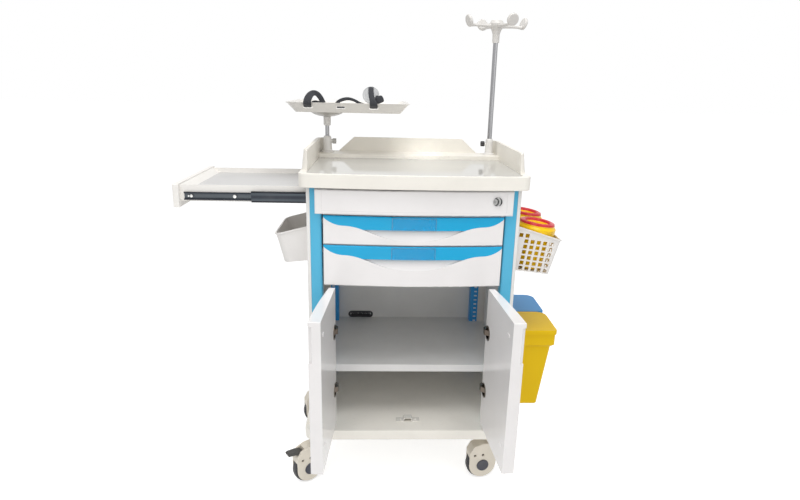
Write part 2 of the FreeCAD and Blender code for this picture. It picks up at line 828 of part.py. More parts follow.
# --- drawers --------------------------------------------------------------
def grip_curve(top, side):
    """Edge from a drawer's top corner, under the grip, to the scoop's lowest point."""
    a = V(side * drawer_half_width, 0, top - grip_end_drop)
    b = V(side * grip_corner_x, 0, top - grip_corner_drop)
    sag = V(side * (grip_corner_x + 34), 0, top - grip_corner_drop * 0.72)
    c = V(0, 0, top - scoop_drop)
    curve = Part.BezierCurve()
    curve.setPoles([b, V(side * scoop_handle_x, 0, b.z), V(side * scoop_handle_low_x, 0, c.z), c])
    return Part.Arc(a, sag, b).toShape(), curve.toShape()


def grip_region(top):
    """Everything above the grip curve, as a thick plate through the front."""
    left_arc, left_curve = grip_curve(top, -1)
    right_arc, right_curve = grip_curve(top, 1)
    side_low, side_high = top - grip_end_drop, top + 1
    corners = [V(drawer_half_width, 0, side_low), V(drawer_half_width, 0, side_high),
               V(-drawer_half_width, 0, side_high), V(-drawer_half_width, 0, side_low)]
    lid = [Part.LineSegment(a, b).toShape() for a, b in zip(corners, corners[1:])]
    wire = Part.Wire(Part.__sortEdges__([left_arc, left_curve, right_curve, right_arc] + lid))
    region = Part.Face(wire).extrude(V(0, 4 * column_depth, 0))
    region.translate(V(0, -2 * column_depth, 0))
    return region


def drawer_plan(z0, z1, back_step=0.0, back=drawer_back_y):
    return slab(-drawer_half_width, drawer_half_width, drawer_front_y + back_step, back, z0, z1, bow=front_bow)


def drawer_set(bottom, top, box_height):
    region = grip_region(top)
    flat_z = top - grip_flat_drop
    half = drawer_half_width
    ahead, behind = drawer_front_y - 2 * front_bow, column_depth
    above = box(-half, half, ahead, behind, flat_z, top + 2)
    below = box(-half, half, ahead, behind, top - scoop_drop - 1, flat_z)
    shell = drawer_plan(bottom, top)
    shell = shell.makeFillet(drawer_edge_radius, outer_edges(shell, lambda c: c.y < drawer_front_y + 0.5))
    grip = region.common(above).common(shell)
    grip = grip.cut(drawer_plan(bottom, top + 2, grip_depth, behind))
    # sloping finger scoop under the grip
    low = plan_wire(-half, half, drawer_front_y, behind, top - scoop_drop - 2, bow=front_bow)
    high = plan_wire(-half, half, drawer_front_y + scoop_depth, behind, flat_z, bow=front_bow)
    slope = loft([low, high])
    scoop = region.common(below).cut(slope)
    front = shell.cut(region.common(above).cut(drawer_plan(bottom - 1, top + 2, grip_depth, behind)))
    front = front.cut(scoop)
    finger = drawer_plan(flat_z - 0.1, flat_z + finger_height, grip_depth - 0.1)
    finger = finger.common(box(-finger_half_width, finger_half_width, ahead, -drawer_wall, flat_z - 1, top))
    front = front.cut(finger)
    # hollow behind, below the finger space
    pocket = slab(-half + drawer_wall, half - drawer_wall,
                  drawer_front_y + 2.5 * drawer_wall, drawer_back_y + 1, bottom + drawer_wall,
                  top - scoop_drop - drawer_wall, bow=front_bow)
    if top - scoop_drop - drawer_wall - bottom > 3 * drawer_wall:
        front = front.cut(pocket)
    window = drawer_plan(flat_z, top - drawer_edge_radius, -window_thickness)
    window = window.cut(drawer_plan(flat_z - 1, top, 0.0, behind))
    window = window.common(box(-window_half_width, window_half_width, ahead, 0, flat_z, top))
    notch = Part.makeCylinder(window_notch_radius, -ahead, V(0, ahead, flat_z), V(0, 1, 0))
    window = window.cut(notch)
    # tray behind the front, with a tongue along each side
    half = drawer_box_half_width
    z0 = bottom + drawer_box_bottom_gap
    y0 = drawer_back_y
    w = drawer_box_wall
    r = drawer_box_radius
    tray = slab(-half, half, y0, y0 + drawer_box_depth, z0, z0 + box_height, (r,) * 4)
    hollow = slab(-half + w, half - w, y0 + w, y0 + drawer_box_depth - w, z0 + w, z0 + box_height + 1,
                  (r - w,) * 4)
    tongue_top = z0 + box_height - tongue_drop
    tongue_start = y0 + tongue_setback
    tongues = [box(s * half - (tongue_width if s < 0 else 0), s * half + (tongue_width if s > 0 else 0),
                   tongue_start, y0 + drawer_box_depth, tongue_top - tongue_thickness, tongue_top)
               for s in (-1, 1)]
    tray = fused([tray.cut(hollow)] + tongues)
    channel_low = tongue_top - tongue_thickness - runner_slide_gap
    channel_high = tongue_top + runner_slide_gap
    return front, tray, grip, window, (channel_low, channel_high)


channels = {}
for name, bottom, top, height in (("upper", upper_drawer_bottom, upper_drawer_top, upper_box_height),
                                  ("lower", lower_drawer_bottom, lower_drawer_top, lower_box_height)):
    front, tray, grip, window, channels[name] = drawer_set(bottom, top, height)
    nodes[name + "_drawer_front"] = front
    nodes[name + "_drawer_box"] = tray
    nodes[name + "_drawer_grip"] = grip
    nodes[name + "_drawer_label_window"] = window


def drawer_runners():
    """C channels for the drawer tongues and angles that carry the shelf."""
    pieces = []
    outer = column_inner
    for low, high in channels.values():
        t = runner_wall
        block = box(outer - runner_width, outer, runner_front, rear_column_front, low - t, high + t)
        slot = box(outer - runner_width - 1, outer - t, runner_front - 1, rear_column_front + 1, low, high)
        pieces.append(block.cut(slot))
    angle_top = shelf_z - sheet
    y0, y1 = column_depth + angle_setback, rear_column_front - 1
    upright = box(column_outer - sheet, column_outer, y0, y1, angle_top - angle_height, angle_top)
    ledge = box(column_outer - angle_width, column_outer, y0, y1, angle_top - sheet, angle_top)
    pieces.append(fused([upright, ledge]))
    return Part.makeCompound(pieces + [mirrored(p) for p in pieces])


nodes["drawer_runners"] = drawer_runners()


# --- doors and hinges -----------------------------------------------------
door_axis = V(door_axis_x, door_axis_y, 0)


def opened(shape):
    shape = shape.copy()
    shape.rotate(door_axis, V(0, 0, 1), door_open_angle)
    return shape


cup_x = door_hinge_edge_x - cup_inset


def door_closed():
    full = slab(-door_hinge_edge_x, door_hinge_edge_x, drawer_front_y, door_back_y, door_bottom, door_top,
                bow=front_bow)
    half = full.common(box(door_meeting_gap, column_inner, drawer_front_y - 2 * front_bow, column_depth,
                           door_bottom - 1, door_top + 1))
    half = half.makeFillet(door_edge_radius, outer_edges(half, lambda c: c.y < door_back_y - 1))
    cups = [Part.makeCylinder(cup_radius, cup_depth + 1, V(cup_x, door_back_y - cup_depth, z), V(0, 1, 0))
            for z in hinge_heights]
    groove = Part.makeCylinder(finger_groove_radius, finger_groove_length,
                               V(0, drawer_front_y - front_bow - 2,
                                 door_top - finger_groove_drop - finger_groove_length))
    return half.cut(Part.makeCompound(cups)).cut(groove)


def door_buffers_closed():
    return [stadium_y(buffer_width, buffer_height, buffer_x, z, door_back_y, door_back_y + buffer_thickness)
            for z in buffer_heights]


def hinge_cups_closed():
    cups = []
    r = cup_radius
    for z in hinge_heights:
        center = V(cup_x, door_back_y - cup_depth, z)
        pot = Part.makeCylinder(r, cup_depth, center, V(0, 1, 0))
        middle = V(cup_x, door_back_y, z)
        cover = Part.makeCylinder(cup_flange_radius, cup_flange_thickness, middle, V(0, 1, 0))
        hollow = Part.makeCylinder(r - cup_wall, 2 * cup_depth, center + V(0, cup_wall, 0), V(0, 1, 0))
        cups.append(pot.fuse(cover).cut(hollow).removeSplitter())
    return Part.makeCompound(cups)


def ribbon(points, thickness):
    """Strip of constant thickness along a plan route, as joined plates."""
    parts = []
    for a, b in zip(points, points[1:]):
        run = (b - a).normalize()
        side = V(-run.y, run.x, 0) * (thickness / 2)
        parts.append([a + side, b + side, b - side, a - side])
    return parts


def hinge_arm(z):
    axis = V(arm_axis_x, arm_axis_y, 0)
    bend = V(column_inner - arm_bend_inset, arm_bend_y, 0)
    hook = bend + V(0, -arm_reach, 0)
    route = [axis, bend, hook, hook + V(arm_tip_run, -arm_tip_reach, 0)]
    z0 = z - arm_height / 2
    solids = [Part.makeCylinder(arm_knuckle_radius, arm_height, V(axis.x, axis.y, z0))]
    for quad in ribbon(route, arm_thickness):
        solids.append(prism_z([(p.x, p.y) for p in quad], z0, z0 + arm_height))
    for joint in route[1:-1]:
        solids.append(Part.makeCylinder(arm_thickness / 2, arm_height, V(joint.x, joint.y, z0)))
    bore = Part.makeCylinder(arm_pin_radius + running_clearance, arm_height + 2, V(axis.x, axis.y, z0 - 1))
    return fused(solids).cut(bore)


def hinge_plate(z):
    h = hinge_plate_half_height
    face_x = column_inner - hinge_plate_thickness
    plate = box(face_x, column_inner, hinge_plate_front, column_depth, z - h, z + h)
    lug_gap = arm_height / 2 + face_gap
    lug_r = arm_knuckle_radius
    solids = [plate]
    for z0 in (z - lug_gap - hinge_lug_thickness, z + lug_gap):
        solids.append(Part.makeCylinder(lug_r, hinge_lug_thickness, V(arm_axis_x, arm_axis_y, z0)))
        solids.append(box(arm_axis_x, column_inner - 1, arm_axis_y - lug_r, arm_axis_y + lug_r, z0,
                          z0 + hinge_lug_thickness))
    pin_half = lug_gap + hinge_lug_thickness
    solids.append(Part.makeCylinder(arm_pin_radius, 2 * pin_half, V(arm_axis_x, arm_axis_y, z - pin_half)))
    return fused(solids)


nodes["door_right"] = opened(Part.makeCompound([door_closed()] + door_buffers_closed()))
nodes["door_left"] = mirrored(nodes["door_right"])
nodes["hinge_cups_right"] = opened(hinge_cups_closed())
nodes["hinge_cups_left"] = mirrored(nodes["hinge_cups_right"])
nodes["hinge_arms_right"] = Part.makeCompound([hinge_arm(z) for z in hinge_heights])
nodes["hinge_arms_left"] = mirrored(nodes["hinge_arms_right"])
plates = [hinge_plate(z) for z in hinge_heights]
nodes["hinge_plates"] = Part.makeCompound(plates + [mirrored(p) for p in plates])


def door_strike():
    h = strike_length / 2
    s = strike_screw_spacing / 2
    y0 = column_depth - strike_width
    z = floor_z
    t = strike_sheet
    foot, crown, rise = strike_foot, strike_crown, strike_height
    half = [(h, z), (h, z + t), (foot, z + t), (crown, z + rise)]
    under = [(crown - t, z + rise - t), (foot - t, z)]
    outline = half + [(-x, q) for x, q in reversed(half)] + [(-x, q) for x, q in reversed(under)] + under
    arch = prism_y(outline, y0, y0 + strike_width)
    head = [(0, 0), (screw_head_radius, 0), (0.8 * screw_head_radius, 0.8 * screw_head_height),
            (0, screw_head_height)]
    screws = [turned(head, V(x, y0 + strike_width / 2, z + t)) for x in (-s, s)]
    return fused([arch] + screws)


nodes["door_strike"] = door_strike()


# --- side shelf and its slides --------------------------------------------
def side_shelf():
    w = tray_wall
    x0, x1 = shelf_inner_x, shelf_inner_x + tray_length
    floor_plate = box(x0, x1, tray_front, tray_back, tray_floor_z - w, tray_floor_z)
    front_wall = box(x0, x1, tray_front, tray_front + w, tray_skirt_bottom, tray_rim_z)
    rear_wall = box(x0, x1, tray_back - w, tray_back, tray_skirt_bottom, tray_rim_z)
    far_wall = box(x1 - w, x1, tray_front, tray_back, tray_skirt_bottom, tray_rim_z)
    # end panel: folded channel, open below, that rises above the tray floor
    end = slab(shelf_end_x, shelf_inner_x, shelf_end_front, shelf_end_back, shelf_end_bottom, shelf_end_top,
               (2 * w, 0, 0, 2 * w))
    end = end.makeFillet(w, outer_edges(end, lambda c: c.x < shelf_end_x + 1 and abs(c.z - shelf_end_top) < 1))
    end_hollow = box(shelf_end_x + w, shelf_inner_x - w, shelf_end_front + w, shelf_end_back - w,
                     shelf_end_bottom + w, shelf_end_top - w)
    mouth = box(shelf_end_x + 2 * w, shelf_inner_x - w, shelf_end_front + 2 * w, shelf_end_back - 2 * w,
                shelf_end_bottom - 1, shelf_end_bottom + w + 1)
    slope = prism_y([(x0 - 1, tray_floor_z - w), (x0 - 1, tray_rim_z), (x0, tray_rim_z),
                     (x0 + tray_slope, tray_floor_z - 1), (x0 + tray_slope, tray_floor_z - w)],
                    tray_front + w, tray_back - w)
    return fused([end.cut(end_hollow).cut(mouth), floor_plate, front_wall, rear_wall, far_wall, slope])


def slide_member(x0, x1, y_web, direction, height, reach):
    """C section along X with thick race flanges; direction is where it opens."""
    z0, z1 = slide_z - height / 2, slide_z + height / 2
    y_a, y_b = y_web, y_web + direction * slide_web
    web = box(x0, x1, min(y_a, y_b), max(y_a, y_b), z0, z1)
    y_c = y_web + direction * reach
    flanges = [box(x0, x1, min(y_a, y_c), max(y_a, y_c), za, za + slide_flange)
               for za in (z0, z1 - slide_flange)]
    return fused([web] + flanges)


def slide_pair(x0, x1, offset, opens_to_tray, height, reach):
    """Front and rear members; offset is the web's distance from the tray wall."""
    sign = 1 if opens_to_tray else -1
    front = slide_member(x0, x1, tray_front - offset, sign, height, reach)
    rear = slide_member(x0, x1, tray_back + offset, -sign, height, reach)
    return [front, rear]


nodes["side_shelf"] = side_shelf()
nodes["slide_inner_members"] = Part.makeCompound(
    slide_pair(slide_start_x, slide_end_x, 0.0, False, slide_inner_height, slide_inner_reach))
nodes["slide_mid_members"] = Part.makeCompound(
    slide_pair(slide_mid_start, slide_mid_end, slide_total - slide_mid_web_gap, True, slide_mid_height,
               slide_mid_reach))


def slide_outer_members():
    members = slide_pair(slide_outer_start, slide_outer_end, slide_total, True, slide_outer_height,
                         slide_outer_reach)
    half = column_outer
    z0, z1 = slide_z - slide_outer_height / 2, slide_z + slide_outer_height / 2
    front_rail = box(-half, half, column_depth, tray_front - slide_total, z0, z1)
    rear_rail = box(-half, rear_column_inner, tray_back + slide_total, back_front_y, z0, z1)
    return fused([members[0], front_rail]), fused([members[1], rear_rail])


nodes["slide_outer_members"] = Part.makeCompound(list(slide_outer_members()))


# --- side bins ------------------------------------------------------------
def leaning_bin(front, back, rim, floor, wall, taper, radius, lip):
    """Open bin on the right side.  rim and floor are (inner rise, outer rise, reach)."""
    x_in = body_half_width
    rim_in, rim_out, floor_in, floor_out = [floor_z + h for h in rim[:2] + floor[:2]]
    rim_x, floor_x = x_in + rim[2], x_in + floor[2]
    low_z, high_z = floor_out - 4, rim_in + 2
    lean = (rim_x - floor_x) / (rim_out - floor_out)

    def outline(z, grow):
        x = floor_x + lean * (z - floor_out) + grow
        y = taper * (high_z - z) / (high_z - low_z) - grow
        r = radius + grow
        return plan_wire(x_in - min(grow, 0), x, front + y, back - y, z, (0.5, r, r, 0.5))

    def column(grow):
        return loft([outline(low_z, grow), outline(high_z, grow)])

    def band(line_low, line_high):
        return prism_y([(x_in - 1, line_low[0]), (rim_x + 20, line_low[1]), (rim_x + 20, line_high[1]),
                        (x_in - 1, line_high[0])], front - 20, back + 20)

    def extend(z_in, z_out, x_out, rise=0.0):
        slope = (z_out - z_in) / (x_out - x_in)
        return z_in + rise - slope, z_in + rise + slope * (rim_x + 20 - x_in)

    floor_line = extend(floor_in, floor_out, floor_x)
    rim_line = extend(rim_in, rim_out, rim_x)
    shell = column(0).common(band(floor_line, rim_line))
    cavity = column(-wall).common(band(extend(floor_in, floor_out, floor_x, wall),
                                       extend(rim_in, rim_out, rim_x, 30)))
    rim_band = column(lip).common(band(extend(rim_in, rim_out, rim_x, -bin_lip_height), rim_line))
    rim_band = rim_band.common(box(x_in, rim_x + 30, front - 20, back + 20, floor_z, body_top))
    return shell.fuse(rim_band).removeSplitter().cut(cavity), math.atan2(floor_in - floor_out, floor_x - x_in)


storage, _ = leaning_bin(storage_front, storage_back, storage_rim, storage_floor, storage_wall, storage_taper,
                         storage_radius, bin_lip)
nodes["storage_bin"] = mirrored(storage)


def basket():
    shell, tilt = leaning_bin(basket_front, basket_back, basket_rim, basket_floor, basket_wall, basket_taper,
                              basket_radius, bin_lip)
    along = V(math.cos(tilt), 0, -math.sin(tilt))
    up = V(math.sin(tilt), 0, math.cos(tilt))
    corner = V(body_half_width, 0, floor_z + basket_floor[0])
    (rim_in, rim_out, rim_reach), (floor_in, floor_out, floor_reach) = basket_rim, basket_floor
    h = basket_hole / 2
    cutters = []

    def fits(center):
        rise, reach = center.z - floor_z, center.x - body_half_width
        wall_reach = floor_reach + (rise - floor_out) * (rim_reach - floor_reach) / (rim_out - floor_out)
        rim_rise = rim_in - reach * (rim_in - rim_out) / rim_reach
        return (reach - h > basket_solid_edge and reach + h < wall_reach - basket_solid_edge
                and rise + h < rim_rise - basket_solid_rim)

    for row in range(basket_rows):
        t = basket_first_row + row * basket_pitch_t
        for col in range(basket_columns):
            center = corner + along * (col * basket_pitch_s) + up * t
            if fits(center):
                signs = ((-1, -1), (1, -1), (1, 1), (-1, 1))
                points = [center + along * (a * h) + up * (b * h) for a, b in signs]
                cutters.append(prism_y([(p.x, p.z) for p in points], basket_front - 10, basket_back + 10))
    free = basket_back - basket_front - 2 * (basket_taper + basket_radius)
    count = int(free // basket_pitch_s)
    middle = (basket_front + basket_back) / 2
    for row in range(basket_rows - 1):
        rise = floor_out + basket_first_row + row * basket_pitch_t
        if rise + h < rim_out - basket_solid_rim:
            for i in range(count):
                y = middle + (i - (count - 1) / 2) * basket_pitch_s
                cutters.append(box(corner.x + floor_reach - 20, corner.x + rim_reach + 20, y - h, y + h,
                                   floor_z + rise - h, floor_z + rise + h))
    return shell.cut(Part.makeCompound(cutters))


nodes["basket"] = basket()


def leaned(shape, y):
    drop = (basket_floor[0] - basket_floor[1]) * sharps_reach / basket_floor[2]
    base = V(body_half_width + sharps_reach, y, floor_z + basket_floor[0] - drop + basket_wall + sharps_lift)
    shape = shape.copy()
    shape.translate(base)
    shape.rotate(base, V(0, 1, 0), sharps_lean)
    return shape


sharps_profile = [(0, 0), (38, 0), (41, 3), (50, 96), (56, 106), (57, 124), (52, 130), (52, 134), (35, 134),
                  (33, 130), (0, 130), (0, 127), (49, 127), (53, 122), (52, 108), (47, 98), (38.5, 4), (0, 3)]
ring_profile = [(35, 134), (52, 134), (50, 140), (44, 142), (38, 140)]
sharps_y = (basket_front + sharps_insets[0], basket_back - sharps_insets[1])
nodes["sharps_bodies"] = Part.makeCompound([leaned(turned(sharps_profile), y) for y in sharps_y])
nodes["sharps_rings"] = Part.makeCompound([leaned(turned(ring_profile), y) for y in sharps_y])


# --- waste bins -----------------------------------------------------------
def lug_spans(front):
    first = front + waste_lug_inset
    last = front + waste_depth - waste_lug_inset - waste_lug_width
    return [(y, y + waste_lug_width) for y in (first, last)]


def waste_bin(front):
    back = front + waste_depth
    x_in = body_half_width
    w = waste_wall
    r = lid_corner_radius
    f = lid_inner_radius

    def body_plan(z, grow):
        share = (z - waste_floor_z) / waste_body_height
        x = x_in + waste_reach_bottom + (waste_reach_top - waste_reach_bottom) * share + grow
        y = waste_taper_bottom + (waste_taper_top - waste_taper_bottom) * share - grow
        return plan_wire(x_in - min(grow, 0), x, front + y, back - y, z, (1, f + grow, r - f + grow, 1))

    def collar_plan(z, inset):
        return plan_wire(x_in + inset, x_in + waste_collar_reach - inset, front + inset, back - inset, z,
                         (1, f - inset, r - inset, 1))

    neck_z = waste_collar_bottom + waste_collar_step
    foot_z = waste_floor_z + waste_foot_step
    outer = loft([body_plan(waste_floor_z, -waste_foot_step), body_plan(foot_z, 0),
                  body_plan(waste_collar_bottom, 0)])
    collar = loft([body_plan(waste_collar_bottom, 0), collar_plan(neck_z, 0)])
    upper = Part.Face(collar_plan(neck_z, 0)).extrude(V(0, 0, waste_collar_top - neck_z))
    inner = loft([body_plan(waste_floor_z + w, -w), body_plan(waste_collar_bottom, -w)])
    throat = loft([body_plan(waste_collar_bottom, -w), collar_plan(neck_z, w)])
    mouth = Part.Face(collar_plan(neck_z, w)).extrude(V(0, 0, waste_collar_top + 1 - neck_z))
    pieces = [fused([outer, collar, upper]).cut(fused([inner, throat, mouth]))]
    # lid lugs and pin
    for y0, y1 in lug_spans(front):
        lug_top = lid_axis_z + lid_barrel_radius
        pieces.append(box(x_in, lid_axis_x, y0, y1, waste_collar_top - waste_wall, lug_top))
        start = V(lid_axis_x, y0, lid_axis_z)
        pieces.append(Part.makeCylinder(lid_barrel_radius, y1 - y0, start, V(0, 1, 0)))
    pin = Part.makeCylinder(lid_pin_radius, waste_depth - 2 * waste_lug_inset,
                            V(lid_axis_x, front + waste_lug_inset, lid_axis_z), V(0, 1, 0))
    return fused(pieces + [pin])


def waste_lid(front):
    back = front + waste_depth
    g = lid_gap
    t = lid_thickness
    r = lid_corner_radius
    z0, z1 = waste_collar_top, waste_collar_top + t
    low = z0 - lid_rim_drop
    e = g + lid_rim_thickness
    f = lid_inner_radius
    reach = body_half_width + waste_collar_reach
    outer = slab(lid_axis_x, reach + e, front - e, back + e, low, z1, (0.5, f + e, r + e, 0.5))
    outer = outer.makeFillet(lid_rim_thickness / 2, outer_edges(outer, lambda c: abs(c.z - z1) < 0.1
                                                                and c.x > lid_axis_x + 1))
    inner = slab(body_half_width, reach + g, front - g, back + g, low - 1, z0, (0, f + g, r + g, 0))
    spans = lug_spans(front)
    y0, y1 = spans[0][1] + face_gap, spans[1][0] - face_gap
    barrel = Part.makeCylinder(lid_barrel_radius, y1 - y0, V(lid_axis_x, y0, lid_axis_z), V(0, 1, 0))
    web = box(lid_axis_x, lid_axis_x + lid_barrel_radius, y0, y1, z1 - 1, lid_axis_z)
    bore = Part.makeCylinder(lid_pin_radius + running_clearance, waste_depth, V(lid_axis_x, front, lid_axis_z),
                             V(0, 1, 0))
    clear = lid_barrel_radius + 2
    relief = [box(lid_axis_x - 1, lid_axis_x + clear, y0 - face_gap, y1 + face_gap, z0 - 1, lid_axis_z + clear)
              for y0, y1 in spans]
    return fused([outer.cut(inner), barrel, web]).cut(bore).cut(Part.makeCompound(relief))


nodes["waste_bin_yellow"] = waste_bin(waste_front)
nodes["waste_bin_blue"] = waste_bin(waste_front + waste_pitch)
nodes["waste_lid_yellow"] = waste_lid(waste_front)
nodes["waste_lid_blue"] = waste_lid(waste_front + waste_pitch)


# --- pole sockets and knobs -----------------------------------------------
def pole_socket(side, rod_radius, base_radius, top_radius, bore_bottom):
    place = V(side * pole_x, pole_y, 0)
    tail_bottom = bore_bottom - socket_tail_gap
    tail_r = socket_tail_radius - face_gap
    foot = socket_foot
    profile = [(0, tail_bottom), (tail_r, tail_bottom), (tail_r, ledge_z), (base_radius + foot, ledge_z),
               (base_radius + foot, ledge_z + foot - 2), (base_radius, ledge_z + foot),
               (top_radius, socket_top - 4), (top_radius - 2, socket_top), (0, socket_top)]
    body = turned(profile, place)
    inward = -side
    boss = Part.makeCylinder(knob_boss_radius, top_radius + knob_boss_reach, V(place.x, pole_y, knob_z),
                             V(inward, 0, 0))
    bore = Part.makeCylinder(rod_radius + running_clearance, socket_top + 1 - bore_bottom,
                             V(place.x, pole_y, bore_bottom))
    thread = Part.makeCylinder(knob_screw_radius + running_clearance, top_radius + 20,
                               V(place.x, pole_y, knob_z), V(inward, 0, 0))
    return fused([body, boss]).cut(bore).cut(thread)


def clamp_knob(side, rod_radius, top_radius):
    inward = -side
    start = V(side * pole_x + inward * (rod_radius + face_gap), pole_y, knob_z)
    head_x = side * pole_x + inward * (top_radius + knob_boss_reach + face_gap)
    screw_length = abs(head_x - start.x) + 1
    screw = Part.makeCylinder(knob_screw_radius, screw_length, start, V(inward, 0, 0))
    head = Part.makeCylinder(knob_radius, knob_length, V(head_x, pole_y, knob_z), V(inward, 0, 0))
    head = head.makeFillet(1.5, outer_edges(head, lambda c: abs(c.x - head_x) > knob_length - 0.1))
    lobes = []
    for i in range(knob_lobes):
        a = 2 * math.pi * i / knob_lobes
        r = knob_radius + knob_groove_out
        c = V(head_x - inward, pole_y + r * math.cos(a), knob_z + r * math.sin(a))
        lobes.append(Part.makeCylinder(knob_groove_radius, knob_length + 2, c, V(inward, 0, 0)))
    return fused([screw, head.cut(Part.makeCompound(lobes))])


sockets = [pole_socket(-1, defib_rod_radius, defib_socket_base, defib_socket_top, defib_rod_bottom),
           pole_socket(1, iv_rod_radius, iv_socket_base, iv_socket_top, iv_socket_bottom)]
iv_through = Part.makeCylinder(iv_rod_radius + running_clearance, 40,
                               V(pole_x, pole_y, iv_socket_bottom - 20))
nodes["pole_sockets"] = Part.makeCompound([sockets[0], sockets[1].cut(iv_through)])
nodes["defib_knob"] = clamp_knob(-1, defib_rod_radius, defib_socket_top)
nodes["iv_knob"] = clamp_knob(1, iv_rod_radius, iv_socket_top)


# --- defibrillator tray ---------------------------------------------------
post = V(-pole_x, pole_y, 0)
nodes["defib_rod"] = tube(defib_rod_radius, rod_wall, defib_rod_bottom, rod_top, post)
collar = turned([(0, defib_collar_bottom), (11, defib_collar_bottom), (12, defib_collar_bottom + 2),
                 (12.5, rod_top - 2), (22, rod_top + 4), (flange_radius, flange_z - 2), (flange_radius, flange_z),
                 (0, flange_z)], post)
nodes["tray_flange"] = collar.cut(Part.makeCylinder(defib_rod_radius + running_clearance, rod_top -
                                                    defib_collar_bottom + 1,
                                                    V(post.x, post.y, defib_collar_bottom - 1)))


tray_front_y = post.y - defib_tray_front


def defib_tray():
    f = defib_tray_flare
    z0, z1 = flange_z, flange_z + defib_tray_height
    w = defib_tray_wall

    def outline(z, grow):
        share = (z - z0) / defib_tray_height
        g = f * share + grow
        r = defib_tray_radius + f / 2 * share + grow
        return plan_wire(post.x - defib_tray_left - g, post.x + defib_tray_right + g, tray_front_y - g,
                         post.y + defib_tray_back + g, z, (r,) * 4)

    outer = loft([outline(z0, 0), outline(z1, 0)])
    outer = outer.makeFillet(3.0, outer_edges(outer, lambda c: abs(c.z - z0) < 0.1))
    inner = loft([outline(z0 + w, -w), outline(z1 + 1, -w)])
    rim = loft([outline(z1 - 3, 2), outline(z1, 2)])
    tray = outer.fuse(rim).removeSplitter().cut(inner)
    low = z0 + strap_slot_rise
    slots = [box(post.x + x - strap_slot_width / 2, post.x + x + strap_slot_width / 2, tray_front_y - f - 10,
                 tray_front_y + 6, low, low + strap_slot_height) for x in strap_slot_x]
    return tray.cut(Part.makeCompound(slots))


nodes["defib_tray"] = defib_tray()


def strap_loop(route_xz, y, width):
    """Webbing strip whose broad side faces the front, along an XZ route."""
    half = width / 2
    parts = []
    for (xa, za), (xb, zb) in zip(route_xz, route_xz[1:]):
        run = V(xb - xa, 0, zb - za).normalize()
        side = V(-run.z, 0, run.x) * half
        a, b = V(xa, y, za), V(xb, y, zb)
        face = polygon_face([a + side, b + side, b - side, a - side])
        parts.append(face.extrude(V(0, strap_thickness, 0)))
    for x, z in route_xz[1:-1]:
        parts.append(Part.makeCylinder(half, strap_thickness, V(x, y, z), V(0, 1, 0)))
    return fused(parts)


def strap_foot(x, y):
    """Flat run of webbing that lies on the lower edge of a slot and comes out at the front."""
    half = strap_width / 2
    front = tray_front_y - defib_tray_flare * strap_slot_rise / defib_tray_height - strap_thickness
    low = flange_z + strap_slot_rise
    return box(x - half, x + half, front, y + strap_thickness, low, low + strap_thickness)


def tray_straps():
    # the straps stand over the sloping front wall, clear of the floor
    y = tray_front_y - strap_setback
    low = flange_z + defib_tray_height * (defib_tray_wall + strap_setback) / defib_tray_flare + face_gap
    half = strap_width / 2
    first, second, last = [post.x + x for x in strap_slot_x]
    left = strap_loop([(first, low + 2), (first + 4, low + 2.8 * half), (first + 20, low + 3.3 * half),
                       (first + 44, low + 8)], y, strap_width)
    middle = strap_loop([(second - 8, low), (second - 8, low + half), (second + 12, low + 1.7 * half),
                         (second + 37, low + 1.7 * half), (second + 62, low + half / 2)], y, half)
    right = strap_loop([(last - 5, low), (last - 5, low + 4 * half)], y, strap_width)
    tail = strap_loop([(last + 17, low + 7), (last + 31, low + 2.75 * half)], y + strap_thickness, strap_width)
    return Part.makeCompound([fused([left, strap_foot(first, y)]), fused([middle, strap_foot(second, y)]),
                              fused([right, strap_foot(last, y)]), tail])


nodes["tray_straps"] = tray_straps()
disc_place = V(post.x + strap_slot_x[2] - 5, tray_front_y - strap_setback + 2 * strap_thickness,
               flange_z + defib_tray_wall + disc_radius + disc_rise)
nodes["strap_disc"] = Part.makeCylinder(disc_radius, disc_thickness, disc_place, V(0, 1, 0))


# --- infusion pole --------------------------------------------------------
iv = V(pole_x, pole_y, 0)
iv_rod_top = iv_head_bottom + iv_rod_into_head
nodes["iv_rod"] = tube(iv_rod_radius, rod_wall, iv_rod_bottom, iv_rod_top, iv)


def paddle_disc(radius, thickness, edge):
    """Round paddle with well rounded edges, lying across the X axis."""
    disc = Part.makeCylinder(radius, thickness, V(-thickness / 2, 0, 0), V(1, 0, 0))
    return disc.makeFillet(edge, outer_edges(disc, lambda c: abs(abs(c.x) - thickness / 2) < 0.01))


